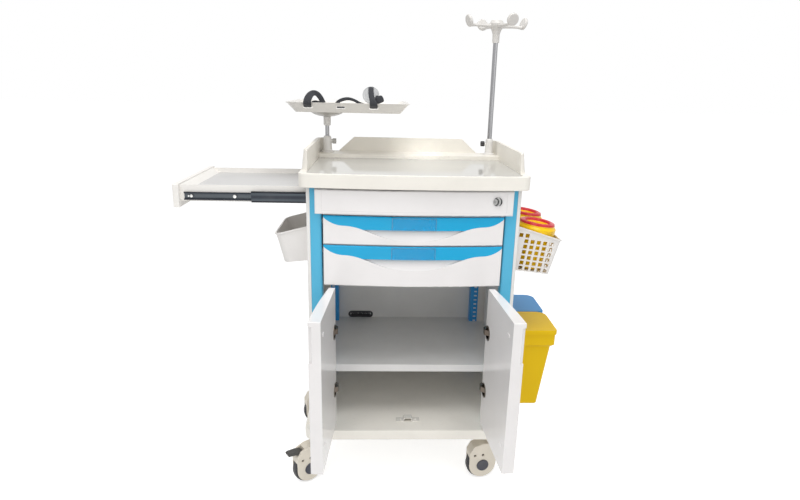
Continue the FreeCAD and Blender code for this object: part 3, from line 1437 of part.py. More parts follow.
def iv_hook_head():
    hub_z = iv_head_z
    r = iv_hub_radius
    neck = iv_neck_radius
    neck_top = iv_head_bottom + iv_neck_length
    hub = turned([(0, iv_head_bottom), (neck, iv_head_bottom), (neck + 0.5, neck_top),
                  (neck + 4, hub_z - 0.6 * r), (r - 1, hub_z), (r, hub_z + 0.3 * r),
                  (0.75 * r, hub_z + 0.7 * r), (0, hub_z + 0.8 * r)], iv)
    hub = hub.cut(Part.makeCylinder(iv_rod_radius + running_clearance, iv_rod_top - iv_head_bottom + 1,
                                    V(iv.x, iv.y, iv_head_bottom - 1)))
    pieces = [hub]
    arm_end = iv_arm_reach - iv_paddle_thickness
    for quarter in range(4):
        arm = turned([(0, r / 2), (iv_arm_root, r / 2), (iv_arm_waist, 0.55 * arm_end),
                      (iv_arm_waist, 0.8 * arm_end), (iv_arm_root, arm_end), (0, arm_end)])
        arm.rotate(V(0, 0, 0), V(0, 1, 0), 90)
        paddle = paddle_disc(iv_paddle_radius, iv_paddle_thickness, iv_paddle_edge)
        paddle.rotate(V(0, 0, 0), V(0, 1, 0), iv_paddle_lean)
        paddle.translate(V(arm_end, 0, iv_paddle_rise))
        piece = arm.fuse(paddle)
        piece.rotate(V(0, 0, 0), V(0, 0, 1), iv_arm_turn + 90 * quarter)
        piece.translate(V(iv.x, iv.y, hub_z))
        pieces.append(piece)
    return fused(pieces)


nodes["iv_hook_head"] = iv_hook_head()


# --- casters --------------------------------------------------------------
def placed_caster(shape, corner):
    shape = shape.copy()
    shape.rotate(V(0, 0, 0), V(0, 0, 1), caster_angles[corner])
    shape.translate(caster_places[corner])
    return shape


wheel_center = V(caster_trail, 0, wheel_radius)
housing_half = wheel_width / 2 + wheel_side_gap + cheek_thickness
cheek_radius = wheel_radius - cheek_margin
pedal_pivot_z = wheel_radius + pedal_pivot_rise
crown_z = caster_height - crown_drop


def caster_housing(with_brake):
    """Twin-cheek housing; u points from the swivel to the wheel, along local X."""
    half = housing_half
    disc = Part.makeCylinder(cheek_radius, 2 * half, wheel_center + V(0, -half, 0), V(0, 1, 0))
    heel, toe = caster_trail - cheek_radius, caster_trail + cheek_radius
    tail = 4 - neck_radius
    crown = prism_y([(tail, crown_z - crown_corner), (tail + 1.5 * crown_corner, crown_z),
                     (caster_trail + 4, crown_z), (toe - 2 * crown_corner, crown_z - crown_slope),
                     (toe, crown_z - crown_nose), (toe, wheel_radius), (heel, wheel_radius)], -half, half)
    solid = disc.fuse(crown).removeSplitter()
    side_edges = outer_edges(solid, lambda c: abs(abs(c.y) - half) < 0.01)
    solid = solid.makeFillet(housing_edge_radius, side_edges)
    well = Part.makeCylinder(wheel_radius + wheel_top_gap, wheel_width + 2 * wheel_side_gap,
                             wheel_center + V(0, -wheel_width / 2 - wheel_side_gap, 0), V(0, 1, 0))
    neck_z = crown_z - crown_slope
    neck = turned([(0, neck_z), (neck_radius - 2, neck_z), (neck_radius, neck_z + crown_corner),
                   (neck_radius, caster_height - 1), (neck_radius - 1, caster_height), (0, caster_height)])
    stem = Part.makeCylinder(stem_radius, stem_length, V(0, 0, caster_height))
    solid = fused([solid, neck, stem]).cut(well)
    bores = [Part.makeCylinder(axle_radius + running_clearance, 4 * half, wheel_center + V(0, -2 * half, 0),
                               V(0, 1, 0))]
    for u in (caster_trail, caster_trail + housing_hole_spacing):
        bores.append(Part.makeCylinder(housing_hole_radius, 4 * half,
                                       V(u, -2 * half, wheel_radius + housing_hole_rise), V(0, 1, 0)))
    solid = solid.cut(Part.makeCompound(bores))
    if with_brake:
        side = pedal_half_width + face_gap
        pocket = box(pedal_pivot_u - 3 * pedal_pin_radius, toe + 1, -side, side,
                     pedal_pivot_z - 2 * pedal_pin_radius - face_gap, caster_height)
        pin = Part.makeCylinder(pedal_pin_radius, 2 * half - 2, V(pedal_pivot_u, 1 - half, pedal_pivot_z),
                                V(0, 1, 0))
        solid = solid.cut(pocket).fuse(pin)
    return solid


def caster_wheel():
    w = wheel_width / 2
    rim = wheel_radius - tyre_thickness
    hub = axle_radius + 8
    half_profile = [(0, w - 4), (hub, w - 1), (hub, w - 3), (rim - 6, w - 5), (rim, w - 1),
                    (wheel_radius - 4, w), (wheel_radius - 0.8, w - 4), (wheel_radius, w - 8)]
    wheel = turned([(r, -z) for r, z in half_profile] + half_profile[::-1])
    reach = housing_half + face_gap
    axle = Part.makeCylinder(axle_radius, 2 * reach + 1, V(0, 0, -reach - 0.5))
    caps = [turned([(0, reach), (hub_cap_radius, reach), (hub_cap_radius - 1, reach + hub_cap_thickness),
                    (0, reach + hub_cap_thickness)])]
    caps.append(caps[0].mirror(V(0, 0, 0), V(0, 0, 1)))
    solid = fused([wheel, axle] + caps)
    solid.rotate(V(0, 0, 0), V(1, 0, 0), 90)
    solid.translate(wheel_center)
    return solid


def brake_pedal():
    z = pedal_pivot_z
    u = pedal_pivot_u
    lever = prism_y([(u - 5, z - 4), (u + 6, z - 5), (u + 22, z + 1), (u + 44, z + 4), (u + 46, z + 9),
                     (u + 40, z + 13), (u + 14, z + 12), (u - 4, z + 6)], -pedal_half_width, pedal_half_width)
    lever = lever.makeFillet(1.5, outer_edges(lever, lambda c: abs(abs(c.y) - pedal_half_width) < 0.01))
    bore = Part.makeCylinder(pedal_pin_radius + running_clearance, 60, V(u, -30, z), V(0, 1, 0))
    return lever.cut(bore)


for corner in caster_places:
    nodes["caster_housing_" + corner] = placed_caster(caster_housing(corner == "front_left"), corner)
    nodes["caster_wheel_" + corner] = placed_caster(caster_wheel(), corner)
nodes["brake_pedal"] = placed_caster(brake_pedal(), "front_left")

# --- move to the origin and write -----------------------------------------
bounds = FreeCAD.BoundBox()
for shape in nodes.values():
    bounds.add(shape.BoundBox)
origin = V(-bounds.Center.x, -bounds.Center.y, -bounds.ZMin)

os.makedirs("parts", exist_ok=True)
for name, shape in nodes.items():
    moved = shape.copy()
    moved.translate(origin)
    moved.exportStep("parts/" + name + ".step")
print(len(nodes), "nodes", "origin", origin, "size", bounds.XLength, bounds.YLength, bounds.ZLength)
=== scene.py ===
import math
import bmesh
import bpy
from mathutils import Matrix, Vector


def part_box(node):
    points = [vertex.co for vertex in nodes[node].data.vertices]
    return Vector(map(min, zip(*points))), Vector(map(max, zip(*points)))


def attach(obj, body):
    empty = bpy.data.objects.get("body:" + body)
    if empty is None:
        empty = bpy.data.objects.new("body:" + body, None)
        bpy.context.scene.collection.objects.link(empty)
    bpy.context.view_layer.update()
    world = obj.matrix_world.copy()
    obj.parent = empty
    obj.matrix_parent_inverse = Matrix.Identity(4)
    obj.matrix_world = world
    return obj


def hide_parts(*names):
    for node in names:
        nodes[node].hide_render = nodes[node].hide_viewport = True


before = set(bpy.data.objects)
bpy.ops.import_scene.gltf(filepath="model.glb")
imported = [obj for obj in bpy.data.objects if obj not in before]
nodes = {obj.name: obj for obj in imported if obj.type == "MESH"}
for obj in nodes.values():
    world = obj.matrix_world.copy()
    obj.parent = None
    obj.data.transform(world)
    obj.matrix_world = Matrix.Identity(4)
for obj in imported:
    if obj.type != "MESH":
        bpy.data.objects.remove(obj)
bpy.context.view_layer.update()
mm = 0.001
print("frame loaded:", len(nodes), "nodes")

# the cabinet's centre line and the front face of its columns are the marks every piece is placed from
leftWall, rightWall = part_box("side_panel_left"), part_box("side_panel_right")
centreX = (leftWall[0].x + rightWall[1].x) / 2
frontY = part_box("front_columns")[0].y


def at(x, y, z):
    return Vector((centreX + x * mm, frontY + y * mm, z * mm))


# place in millimetres, lens and sensor too
cameraSettings = {
    "place": (-101.33, -1562.0, 1232.6),
    "looksAlong": (0.03957, 0.95977, -0.27799),
    "topOfView": (-0.01136, 0.27862, 0.96033),
    "lens": 25.757,
    "sensor": 36.0,
}


def makeCamera(s):
    data = bpy.data.cameras.new("camera")
    data.sensor_width = s["sensor"]
    data.lens = s["lens"]
    forward = Vector(s["looksAlong"]).normalized()
    up = Vector(s["topOfView"])
    right = forward.cross(up).normalized()
    up = right.cross(forward)
    camera = bpy.data.objects.new("camera", data)
    turn = Matrix((right, up, -forward)).transposed().to_4x4()
    camera.matrix_world = Matrix.Translation(at(*s["place"])) @ turn
    bpy.context.scene.collection.objects.link(camera)
    bpy.context.scene.camera = camera


makeCamera(cameraSettings)
print("camera placed")


def paint(r, g, b):
    # screen colour 0-255 to linear
    values = []
    for c in (r, g, b):
        c /= 255
        values.append(c / 12.92 if c <= 0.04045 else ((c + 0.055) / 1.055) ** 2.4)
    return (*values, 1.0)


studioSettings = {"skyStrength": 0.5, "floorGlow": 0.62, "floorPaint": 0.86, "floorSize": 60.0}

# places and aims in millimetres, lamp sizes in metres, spread of the narrow lamp in degrees
lampSettings = {
    "key": {"place": (-1500, -2200, 3100), "aim": (0, 150, 700), "size": 2.6, "power": 27.0},
    "fill": {"place": (1900, -2300, 1700), "aim": (0, 100, 700), "size": 2.4, "power": 13.0},
    "top": {"place": (100, -500, 3500), "aim": (0, 250, 950), "size": 2.2, "power": 44.0},
    "low": {"place": (-500, -1900, 350), "aim": (-150, 200, 1050), "size": 1.6, "power": 3.4},
    "glow": {"place": (120, -1500, 1750), "aim": (35, 240, 1000), "size": 0.12, "power": 0.035, "spread": 7},
}


def cameraSees(tree):
    # camera, mirror and glass rays all find the white surroundings
    path = tree.nodes.new("ShaderNodeLightPath")
    first = tree.nodes.new("ShaderNodeMath")
    first.operation = "MAXIMUM"
    second = tree.nodes.new("ShaderNodeMath")
    second.operation = "MAXIMUM"
    tree.links.new(path.outputs["Is Camera Ray"], first.inputs[0])
    tree.links.new(path.outputs["Is Glossy Ray"], first.inputs[1])
    tree.links.new(first.outputs[0], second.inputs[0])
    tree.links.new(path.outputs["Is Transmission Ray"], second.inputs[1])
    return second.outputs[0]


def makeSky(s):
    world = bpy.data.worlds.new("studio")
    bpy.context.scene.world = world
    world.use_nodes = True
    tree = world.node_tree
    back = tree.nodes["Background"]
    back.inputs["Color"].default_value = (1, 1, 1, 1)
    level = tree.nodes.new("ShaderNodeMapRange")
    level.inputs["To Min"].default_value = s["skyStrength"]
    level.inputs["To Max"].default_value = 1.0
    tree.links.new(cameraSees(tree), level.inputs["Value"])
    tree.links.new(level.outputs["Result"], back.inputs["Strength"])


def makeFloor(s):
    cut = bmesh.new()
    bmesh.ops.create_grid(cut, x_segments=1, y_segments=1, size=s["floorSize"] / 2)
    mesh = bpy.data.meshes.new("floor")
    cut.to_mesh(mesh)
    cut.free()
    floor = bpy.data.objects.new("floor", mesh)
    bpy.context.scene.collection.objects.link(floor)
    surface = bpy.data.materials.new("studioFloor")
    surface.use_nodes = True
    tree = surface.node_tree
    tree.nodes.clear()
    out = tree.nodes.new("ShaderNodeOutputMaterial")
    add = tree.nodes.new("ShaderNodeAddShader")
    matt = tree.nodes.new("ShaderNodeBsdfDiffuse")
    matt.inputs["Color"].default_value = (s["floorPaint"], s["floorPaint"], s["floorPaint"], 1)
    glow = tree.nodes.new("ShaderNodeEmission")
    strength = tree.nodes.new("ShaderNodeMath")
    strength.operation = "MULTIPLY"
    strength.inputs[1].default_value = s["floorGlow"]
    tree.links.new(cameraSees(tree), strength.inputs[0])
    tree.links.new(strength.outputs[0], glow.inputs["Strength"])
    tree.links.new(matt.outputs[0], add.inputs[0])
    tree.links.new(glow.outputs[0], add.inputs[1])
    tree.links.new(add.outputs[0], out.inputs["Surface"])
    mesh.materials.append(surface)


def makeLamp(name, s):
    data = bpy.data.lights.new(name, "AREA")
    data.shape = "DISK"
    data.size = s["size"]
    data.energy = s["power"]
    data.spread = math.radians(s.get("spread", 180))
    light = bpy.data.objects.new(name, data)
    light.location = at(*s["place"])
    light.rotation_euler = (at(*s["aim"]) - light.location).to_track_quat("-Z", "Y").to_euler()
    bpy.context.scene.collection.objects.link(light)


makeSky(studioSettings)
makeFloor(studioSettings)
for name, settings in lampSettings.items():
    makeLamp(name, settings)
bpy.context.scene.view_settings.view_transform = "Standard"
print("studio lit")


def newGroup(name, inputs, outputs):
    group = bpy.data.node_groups.new(name, "ShaderNodeTree")
    for label, kind, value in inputs:
        socket = group.interface.new_socket(name=label, in_out="INPUT", socket_type="NodeSocket" + kind)
        if value is not None:
            socket.default_value = value
    for label, kind in outputs:
        group.interface.new_socket(name=label, in_out="OUTPUT", socket_type="NodeSocket" + kind)
    return group, group.nodes.new("NodeGroupInput"), group.nodes.new("NodeGroupOutput")


def node(tree, kind, links=(), **values):
    # adds a node; values by socket name or index, links as (output, socket)
    made = tree.nodes.new("ShaderNode" + kind)
    for key, value in values.items():
        if hasattr(made, key):
            setattr(made, key, value)
        else:
            made.inputs[key.replace("_", " ")].default_value = value
    for output, socket in links:
        tree.links.new(output, made.inputs[socket])
    return made


def makeGrainGroup():
    # fine spark or leather texture of a mould or a sprayed coat
    inputs = [("Vector", "Vector", None), ("Scale", "Float", 900.0), ("Peel", "Float", 0.5)]
    group, start, end = newGroup("surfaceGrain", inputs, [("Height", "Float")])
    fine = node(group, "TexNoise", [(start.outputs["Vector"], "Vector"), (start.outputs["Scale"], "Scale")],
                Detail=3.0, Roughness=0.6)
    third = node(group, "Math", [(start.outputs["Scale"], 0)], operation="MULTIPLY")
    third.inputs[1].default_value = 0.33
    cells = node(group, "TexVoronoi", [(start.outputs["Vector"], "Vector"), (third.outputs[0], "Scale")],
                 feature="SMOOTH_F1")
    mix = node(group, "Mix", [(start.outputs["Peel"], "Factor"), (fine.outputs["Fac"], 2),
                              (cells.outputs["Distance"], 3)], data_type="FLOAT")
    group.links.new(mix.outputs[0], end.inputs["Height"])
    return group


def makeMarksGroup():
    # soft cloudiness, fine rub marks and settled dust that break up a plain colour
    inputs = [("Vector", "Vector", None), ("Colour", "Color", None), ("Dust", "Color", None),
              ("Amount", "Float", 0.2), ("Roughness", "Float", 0.4), ("Spread", "Float", 6.0)]
    group, start, end = newGroup("useMarks", inputs, [("Colour", "Color"), ("Roughness", "Float")])
    feeds = [(start.outputs["Vector"], "Vector"), (start.outputs["Spread"], "Scale")]
    cloud = node(group, "TexNoise", feeds, Detail=5.0, Roughness=0.55)
    streakMap = node(group, "Mapping", [(start.outputs["Vector"], "Vector")])
    streakMap.inputs["Scale"].default_value = (14.0, 14.0, 90.0)
    rub = node(group, "TexNoise", [(streakMap.outputs["Vector"], "Vector")], Scale=5.0, Detail=6.0,
               Roughness=0.7)
    soft = node(group, "MapRange", [(cloud.outputs["Fac"], "Value")])
    soft.inputs["From Min"].default_value = 0.42
    soft.inputs["From Max"].default_value = 0.72
    fine = node(group, "MapRange", [(rub.outputs["Fac"], "Value")])
    fine.inputs["From Min"].default_value = 0.55
    fine.inputs["From Max"].default_value = 0.8
    both = node(group, "Math", [(soft.outputs["Result"], 0), (fine.outputs["Result"], 1)],
                operation="MAXIMUM")
    share = node(group, "Math", [(both.outputs[0], 0), (start.outputs["Amount"], 1)], operation="MULTIPLY")
    tone = node(group, "Mix", [(share.outputs[0], "Factor"), (start.outputs["Colour"], 6),
                               (start.outputs["Dust"], 7)], data_type="RGBA")
    rough = node(group, "Math", [(share.outputs[0], 0), (start.outputs["Roughness"], 2)],
                 operation="MULTIPLY_ADD")
    rough.inputs[1].default_value = 0.35
    group.links.new(tone.outputs[2], end.inputs["Colour"])
    group.links.new(rough.outputs[0], end.inputs["Roughness"])
    return group


def makeBrushGroup():
    # drawn or brushed lines along one direction of a metal
    inputs = [("Vector", "Vector", None), ("Along", "Vector", (1.0, 1.0, 0.02)), ("Scale", "Float", 700.0)]
    group, start, end = newGroup("brushLines", inputs, [("Height", "Float")])
    stretch = node(group, "VectorMath", [(start.outputs["Vector"], 0), (start.outputs["Along"], 1)],
                   operation="MULTIPLY")
    feeds = [(stretch.outputs["Vector"], "Vector"), (start.outputs["Scale"], "Scale")]
    lines = node(group, "TexNoise", feeds, Detail=4.0, Roughness=0.65)
    group.links.new(lines.outputs["Fac"], end.inputs["Height"])
    return group


# pace is radians of weave per metre, along the webbing (X) and across it (Y)
webbingSettings = {"pace": {"X": 2600.0, "Y": 3400.0}, "fuzz": 900.0, "threads": 0.6, "dark": (30, 31, 36),
                   "worn": (64, 66, 72), "roughness": 0.8, "sheen": 0.25, "depth": 0.00025,
                   "thickness": 1.6}


def makeWeaveGroup(s):
    # ribbed narrow webbing read along its own length and width
    inputs = [("Vector", "Vector", None), ("Threads", "Float", 1.0)]
    group, start, end = newGroup("webbingWeave", inputs, [("Height", "Float"), ("Tone", "Float")])
    split = node(group, "SeparateXYZ", [(start.outputs["Vector"], "Vector")])
    waves = []
    for axis, pace in s["pace"].items():
        run = node(group, "Math", [(split.outputs[axis], 0)], operation="MULTIPLY")
        run.inputs[1].default_value = pace
        waves.append(node(group, "Math", [(run.outputs[0], 0)], operation="SINE"))
    cross = node(group, "Math", [(waves[0].outputs[0], 0), (waves[1].outputs[0], 1)], operation="MULTIPLY")
    fuzz = node(group, "TexNoise", [(start.outputs["Vector"], "Vector")], Scale=s["fuzz"], Detail=4.0)
    height = node(group, "Math", [(cross.outputs[0], 0), (start.outputs["Threads"], 1),
                                  (fuzz.outputs["Fac"], 2)], operation="MULTIPLY_ADD")
    group.links.new(height.outputs[0], end.inputs["Height"])
    group.links.new(fuzz.outputs["Fac"], end.inputs["Tone"])
    return group


grainGroup = makeGrainGroup()
marksGroup = makeMarksGroup()
brushGroup = makeBrushGroup()
weaveGroup = makeWeaveGroup(webbingSettings)
print("shader groups built")


def startMaterial(name):
    material = bpy.data.materials.new(name)
    material.use_nodes = True
    tree = material.node_tree
    shader = tree.nodes["Principled BSDF"]
    place = tree.nodes.new("ShaderNodeTexCoord")
    return material, tree, shader, place.outputs["Object"]


def useGroup(tree, group, vector, **values):
    made = tree.nodes.new("ShaderNodeGroup")
    made.node_tree = group
    tree.links.new(vector, made.inputs["Vector"])
    for key, value in values.items():
        made.inputs[key].default_value = value
    return made


def bump(tree, shader, height, depth):
    made = tree.nodes.new("ShaderNodeBump")
    made.inputs["Strength"].default_value = 1.0
    made.inputs["Distance"].default_value = depth
    tree.links.new(height, made.inputs["Height"])
    tree.links.new(made.outputs["Normal"], shader.inputs["Normal"])


# screen colours that wear and dust leave on painted, metal and clear surfaces
houseDust = (120, 118, 112)
metalDust = (90, 88, 84)
clearDust = (160, 160, 156)


def addWear(tree, shader, vector, colour, dust=houseDust, amount=0.1, roughness=0.36, spread=6.0):
    # colour is three screen values, or the socket of the node that gives it
    marks = useGroup(tree, marksGroup, vector, Dust=paint(*dust), Amount=amount, Roughness=roughness,
                     Spread=spread)
    if isinstance(colour, tuple):
        marks.inputs["Colour"].default_value = paint(*colour)
    else:
        tree.links.new(colour, marks.inputs["Colour"])
    tree.links.new(marks.outputs["Colour"], shader.inputs["Base Color"])
    tree.links.new(marks.outputs["Roughness"], shader.inputs["Roughness"])


def addGrain(tree, shader, vector, scale, peel, depth):
    texture = useGroup(tree, grainGroup, vector, Scale=scale, Peel=peel)
    bump(tree, shader, texture.outputs["Height"], depth)


def addBrushing(tree, shader, vector, along, scale, depth):
    lines = useGroup(tree, brushGroup, vector, Along=along, Scale=scale)
    bump(tree, shader, lines.outputs["Height"], depth)


def plastic(name, colour, dust=houseDust, amount=0.12, roughness=0.35, grain=900.0, peel=0.5, depth=0.00008,
            spread=6.0, coat=0.0, specular=0.5):
    material, tree, shader, vector = startMaterial(name)
    addWear(tree, shader, vector, colour, dust, amount, roughness, spread)
    shader.inputs["Specular IOR Level"].default_value = specular
    if coat:
        shader.inputs["Coat Weight"].default_value = coat
        shader.inputs["Coat Roughness"].default_value = 0.08
    addGrain(tree, shader, vector, grain, peel, depth)
    return material


def metal(name, colour, roughness=0.28, along=(1.0, 1.0, 0.02), scale=700.0, depth=0.00004, amount=0.15):
    material, tree, shader, vector = startMaterial(name)
    shader.inputs["Metallic"].default_value = 1.0
    addWear(tree, shader, vector, colour, metalDust, amount, roughness, spread=12.0)
    addBrushing(tree, shader, vector, along, scale, depth)
    return material


def clear(name, colour, alpha, roughness=0.12, amount=0.1):
    material, tree, shader, vector = startMaterial(name)
    addWear(tree, shader, vector, colour, clearDust, amount, roughness, spread=9.0)
    shader.inputs["Alpha"].default_value = alpha
    shader.inputs["IOR"].default_value = 1.45
    return material


def assign(material, *names):
    for name in names:
        piece = nodes[name]
        piece.data.materials.clear()
        piece.data.materials.append(material)


shelfSettings = {"frame": (243, 240, 235), "floor": (201, 200, 199), "rim": 4.0, "facing": 0.9}


def makeShelfMaterial(s):
    # side shelf whose upward-facing floor, a rim's height below its top, is in a second tone
    material, tree, shader, vector = startMaterial("shelfCoat")
    shape = tree.nodes.new("ShaderNodeNewGeometry")
    facing = node(tree, "SeparateXYZ", [(shape.outputs["Normal"], "Vector")])
    height = node(tree, "SeparateXYZ", [(vector, "Vector")])
    flat = node(tree, "Math", [(facing.outputs["Z"], 0)], operation="GREATER_THAN")
    flat.inputs[1].default_value = s["facing"]
    low = node(tree, "Math", [(height.outputs["Z"], 0)], operation="LESS_THAN")
    low.inputs[1].default_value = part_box("side_shelf")[1].z - s["rim"] * mm
    both = node(tree, "Math", [(flat.outputs[0], 0), (low.outputs[0], 1)], operation="MULTIPLY")
    tone = node(tree, "Mix", [(both.outputs[0], "Factor")], data_type="RGBA")
    tone.inputs[6].default_value = paint(*s["frame"])
    tone.inputs[7].default_value = paint(*s["floor"])
    addWear(tree, shader, vector, tone.outputs[2])
    addGrain(tree, shader, vector, 900.0, 0.8, 0.00006)
    assign(material, "side_shelf")


corners = ("front_left", "front_right", "rear_left", "rear_right")
drawers = ("upper", "lower")

mouldedCream = plastic("mouldedCream", (243, 239, 230), amount=0.1, roughness=0.38, grain=1500, depth=0.0001)
# the defib tray's cream is a darker copy of the moulded cream, as painted shade on the tray
trayShadedCream = plastic("trayShadedCream", (230, 227, 222), amount=0.08, roughness=0.32, grain=1100, depth=0.00006)
glossWhite = plastic("glossWhite", (240, 237, 236), amount=0.07, roughness=0.2, grain=260, peel=0.2,
                     depth=0.00003, coat=0.25)
coatedWhite = plastic("coatedWhite", (238, 236, 233), amount=0.08, roughness=0.34, grain=900, peel=0.8,
                      depth=0.00006)
# the interior liner is a greyer copy of the white coat, as painted shade inside the cabinet
linerShadedWhite = plastic("linerShadedWhite", (222, 221, 219), amount=0.10, roughness=0.24, grain=900, peel=0.8,
                      depth=0.00006)
columnBlue = plastic("columnBlue", (80, 184, 222), dust=(140, 190, 208), amount=0.12, roughness=0.34,
                     grain=900, peel=0.8, depth=0.00005, specular=0.4)
gripBlue = plastic("gripBlue", (14, 170, 220), dust=(90, 170, 205), amount=0.1, roughness=0.24, grain=260,
                   peel=0.2, depth=0.00003, specular=0.3)
boxGrey = plastic("boxGrey", (225, 224, 221), amount=0.1, roughness=0.45, grain=1300)
blackPlastic = plastic("blackPlastic", (34, 34, 38), dust=(95, 93, 90), amount=0.2, roughness=0.42,
                       grain=1400, depth=0.00012)
knobGrey = plastic("knobGrey", (188, 187, 184), amount=0.2, roughness=0.4, grain=1300)
pedalGrey = plastic("pedalGrey", (64, 63, 61), amount=0.2, roughness=0.45, grain=1300)
binWhite = plastic("binWhite", (235, 232, 229), amount=0.1, roughness=0.36, grain=1100, depth=0.0001)
sharpsYellow = plastic("sharpsYellow", (250, 203, 0), dust=(220, 160, 0), amount=0.12, roughness=0.28,
                       grain=500, peel=0.2, specular=0.35)
ringRed = plastic("ringRed", (208, 38, 50), dust=(170, 50, 54), amount=0.12, roughness=0.26, grain=500,
                  peel=0.2, specular=0.4)
wasteYellow = plastic("wasteYellow", (232, 192, 0), dust=(210, 160, 0), amount=0.14, roughness=0.36,
                      grain=1100, specular=0.2)
wasteBlue = plastic("wasteBlue", (70, 150, 212), dust=(95, 150, 198), amount=0.14, roughness=0.36,
                    grain=1100, specular=0.3)
casterCream = plastic("casterCream", (233, 225, 210), dust=(150, 145, 135), amount=0.16, roughness=0.4,
                      grain=1200)
poleWhite = plastic("poleWhite", (234, 232, 229), amount=0.1, roughness=0.26, grain=600, peel=0.3, coat=0.15)
# the hook head's white is a darker copy of the pole's white, as painted shade on the head
headShadedWhite = plastic("headShadedWhite", (216, 213, 209), amount=0.1, roughness=0.3, grain=600, peel=0.3)
steelTube = metal("steelTube", (156, 156, 158), roughness=0.22)
hingeSteel = metal("hingeSteel", (104, 95, 86), roughness=0.3, along=(1, 0.05, 1), scale=500)
strikePale = plastic("strikePale", (224, 221, 214), amount=0.12, roughness=0.22, grain=500, depth=0.00003,
                     coat=0.3)
slideBlack = metal("slideBlack", (58, 60, 66), roughness=0.3, along=(0.03, 1, 1), scale=800, amount=0.25)
screwSteel = metal("screwSteel", (214, 214, 212), roughness=0.2, along=(1, 0.05, 1), scale=900)
clearMat = clear("clearMat", (232, 230, 224), 0.8, roughness=0.05, amount=0.05)
discClear = clear("discClear", (212, 214, 216), 0.5, roughness=0.1)

assign(mouldedCream, "base_moulding", "worktop")
assign(trayShadedCream, "defib_tray")
assign(coatedWhite, "side_panel_left", "side_panel_right")
makeShelfMaterial(shelfSettings)
assign(linerShadedWhite, "back_panel", "cabinet_shelf")
assign(columnBlue, "front_columns")
assign(glossWhite, "lock_fascia", "door_left", "door_right", *[d + "_drawer_front" for d in drawers])
assign(gripBlue, *[d + "_drawer_grip" for d in drawers])
assign(boxGrey, "drawer_runners", *[d + "_drawer_box" for d in drawers])
assign(blackPlastic, "cable_port", "iv_knob")
assign(knobGrey, "defib_knob")
assign(pedalGrey, "brake_pedal")
assign(binWhite, "storage_bin", "basket")
assign(sharpsYellow, "sharps_bodies")
assign(ringRed, "sharps_rings")
assign(wasteYellow, "waste_bin_yellow", "waste_lid_yellow")
assign(wasteBlue, "waste_bin_blue", "waste_lid_blue")
assign(casterCream, *["caster_housing_" + c for c in corners])
assign(poleWhite, "pole_sockets", "tray_flange")
assign(headShadedWhite, "iv_hook_head")
assign(steelTube, "defib_rod", "iv_rod")
for side in ("left", "right"):
    assign(hingeSteel, "hinge_cups_" + side, "hinge_arms_" + side)
assign(hingeSteel, "hinge_plates")
assign(strikePale, "door_strike")
assign(slideBlack, "slide_outer_members")
assign(clearMat, "worktop_mat")
assign(discClear, "strap_disc")
print("cabinet finishes assigned")


def rampOf(tree, share, tones):
    ramp = node(tree, "ValToRGB", [(share, "Fac")])
    while len(ramp.color_ramp.elements) < len(tones):
        ramp.color_ramp.elements.new(1.0)
    for element, (position, colour) in zip(ramp.color_ramp.elements, tones):
        element.position = position
        element.color = paint(*colour)
    return ramp


# tones from the middle line of a slide member (0) to its lips (1): painted highlights along the rolled beads
# and painted shade towards the curled lips
memberLightBands = {
    "slide_inner_members": ((0.0, (84, 90, 95)), (0.55, (74, 80, 86)), (0.72, (34, 39, 50)),
                            (0.9, (20, 24, 34))),
    "slide_mid_members": ((0.0, (38, 43, 52)), (0.3, (48, 54, 62)), (0.42, (80, 88, 94)),
                          (0.5, (34, 40, 50)), (0.62, (92, 100, 106)), (0.7, (30, 36, 46)),
                          (0.86, (14, 18, 26))),
}


def makeMemberMaterial(member, paintedBands):
    # rolled channel of the telescopic slide: painted highlights on its beads and painted shade in its lips,
    # read by their height from its middle
    low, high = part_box(member)
    material, tree, shader, vector = startMaterial(member)
    place = node(tree, "SeparateXYZ", [(vector, "Vector")])
    rise = node(tree, "Math", [(place.outputs["Z"], 0)], operation="SUBTRACT")
    rise.inputs[1].default_value = (low.z + high.z) / 2
    reach = node(tree, "Math", [(rise.outputs[0], 0)], operation="ABSOLUTE")
    share = node(tree, "MapRange", [(reach.outputs[0], "Value")])
    share.inputs["From Max"].default_value = (high.z - low.z) / 2
    # the ramp paints bright highlight bands on the beads and dark shade bands in the lips
    ramp = rampOf(tree, share.outputs["Result"], paintedBands)
    addWear(tree, shader, vector, ramp.outputs["Color"], (110, 110, 112), 0.2, 0.32, 12.0)
    shader.inputs["Metallic"].default_value = 0.6
    addBrushing(tree, shader, vector, (0.03, 1.0, 1.0), 800.0, 0.00003)
    assign(material, member)


for member, paintedBands in memberLightBands.items():
    makeMemberMaterial(member, paintedBands)

postSettings = {"blue": (34, 146, 216), "pale": (206, 203, 198), "flank": 25.0}


def makePostMaterial(s):
    # rear columns: blue comb face inside, bare pale flank towards the side panel
    low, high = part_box("rear_columns")
    material, tree, shader, vector = startMaterial("rearPost")
    place = node(tree, "SeparateXYZ", [(vector, "Vector")])
    side = node(tree, "Math", [(place.outputs["X"], 0)], operation="SUBTRACT")
    side.inputs[1].default_value = centreX
    reach = node(tree, "Math", [(side.outputs[0], 0)], operation="ABSOLUTE")
    outer = node(tree, "Math", [(reach.outputs[0], 0)], operation="GREATER_THAN")
    outer.inputs[1].default_value = (high.x - low.x) / 2 - s["flank"] * mm
    tone = node(tree, "Mix", [(outer.outputs[0], "Factor")], data_type="RGBA")
    tone.inputs[6].default_value = paint(*s["blue"])
    tone.inputs[7].default_value = paint(*s["pale"])
    addWear(tree, shader, vector, tone.outputs[2], (150, 170, 190), 0.12, 0.34)
    addGrain(tree, shader, vector, 900.0, 0.8, 0.00005)
    assign(material, "rear_columns")


makePostMaterial(postSettings)
print("slides and rear columns finished")


# the disc ends and the tyre starts at these shares of the wheel's radius
wheelSettings = {"disc": (58, 60, 72), "tyre": (44, 44, 48), "discEnds": 0.80, "tyreStarts": 0.83}


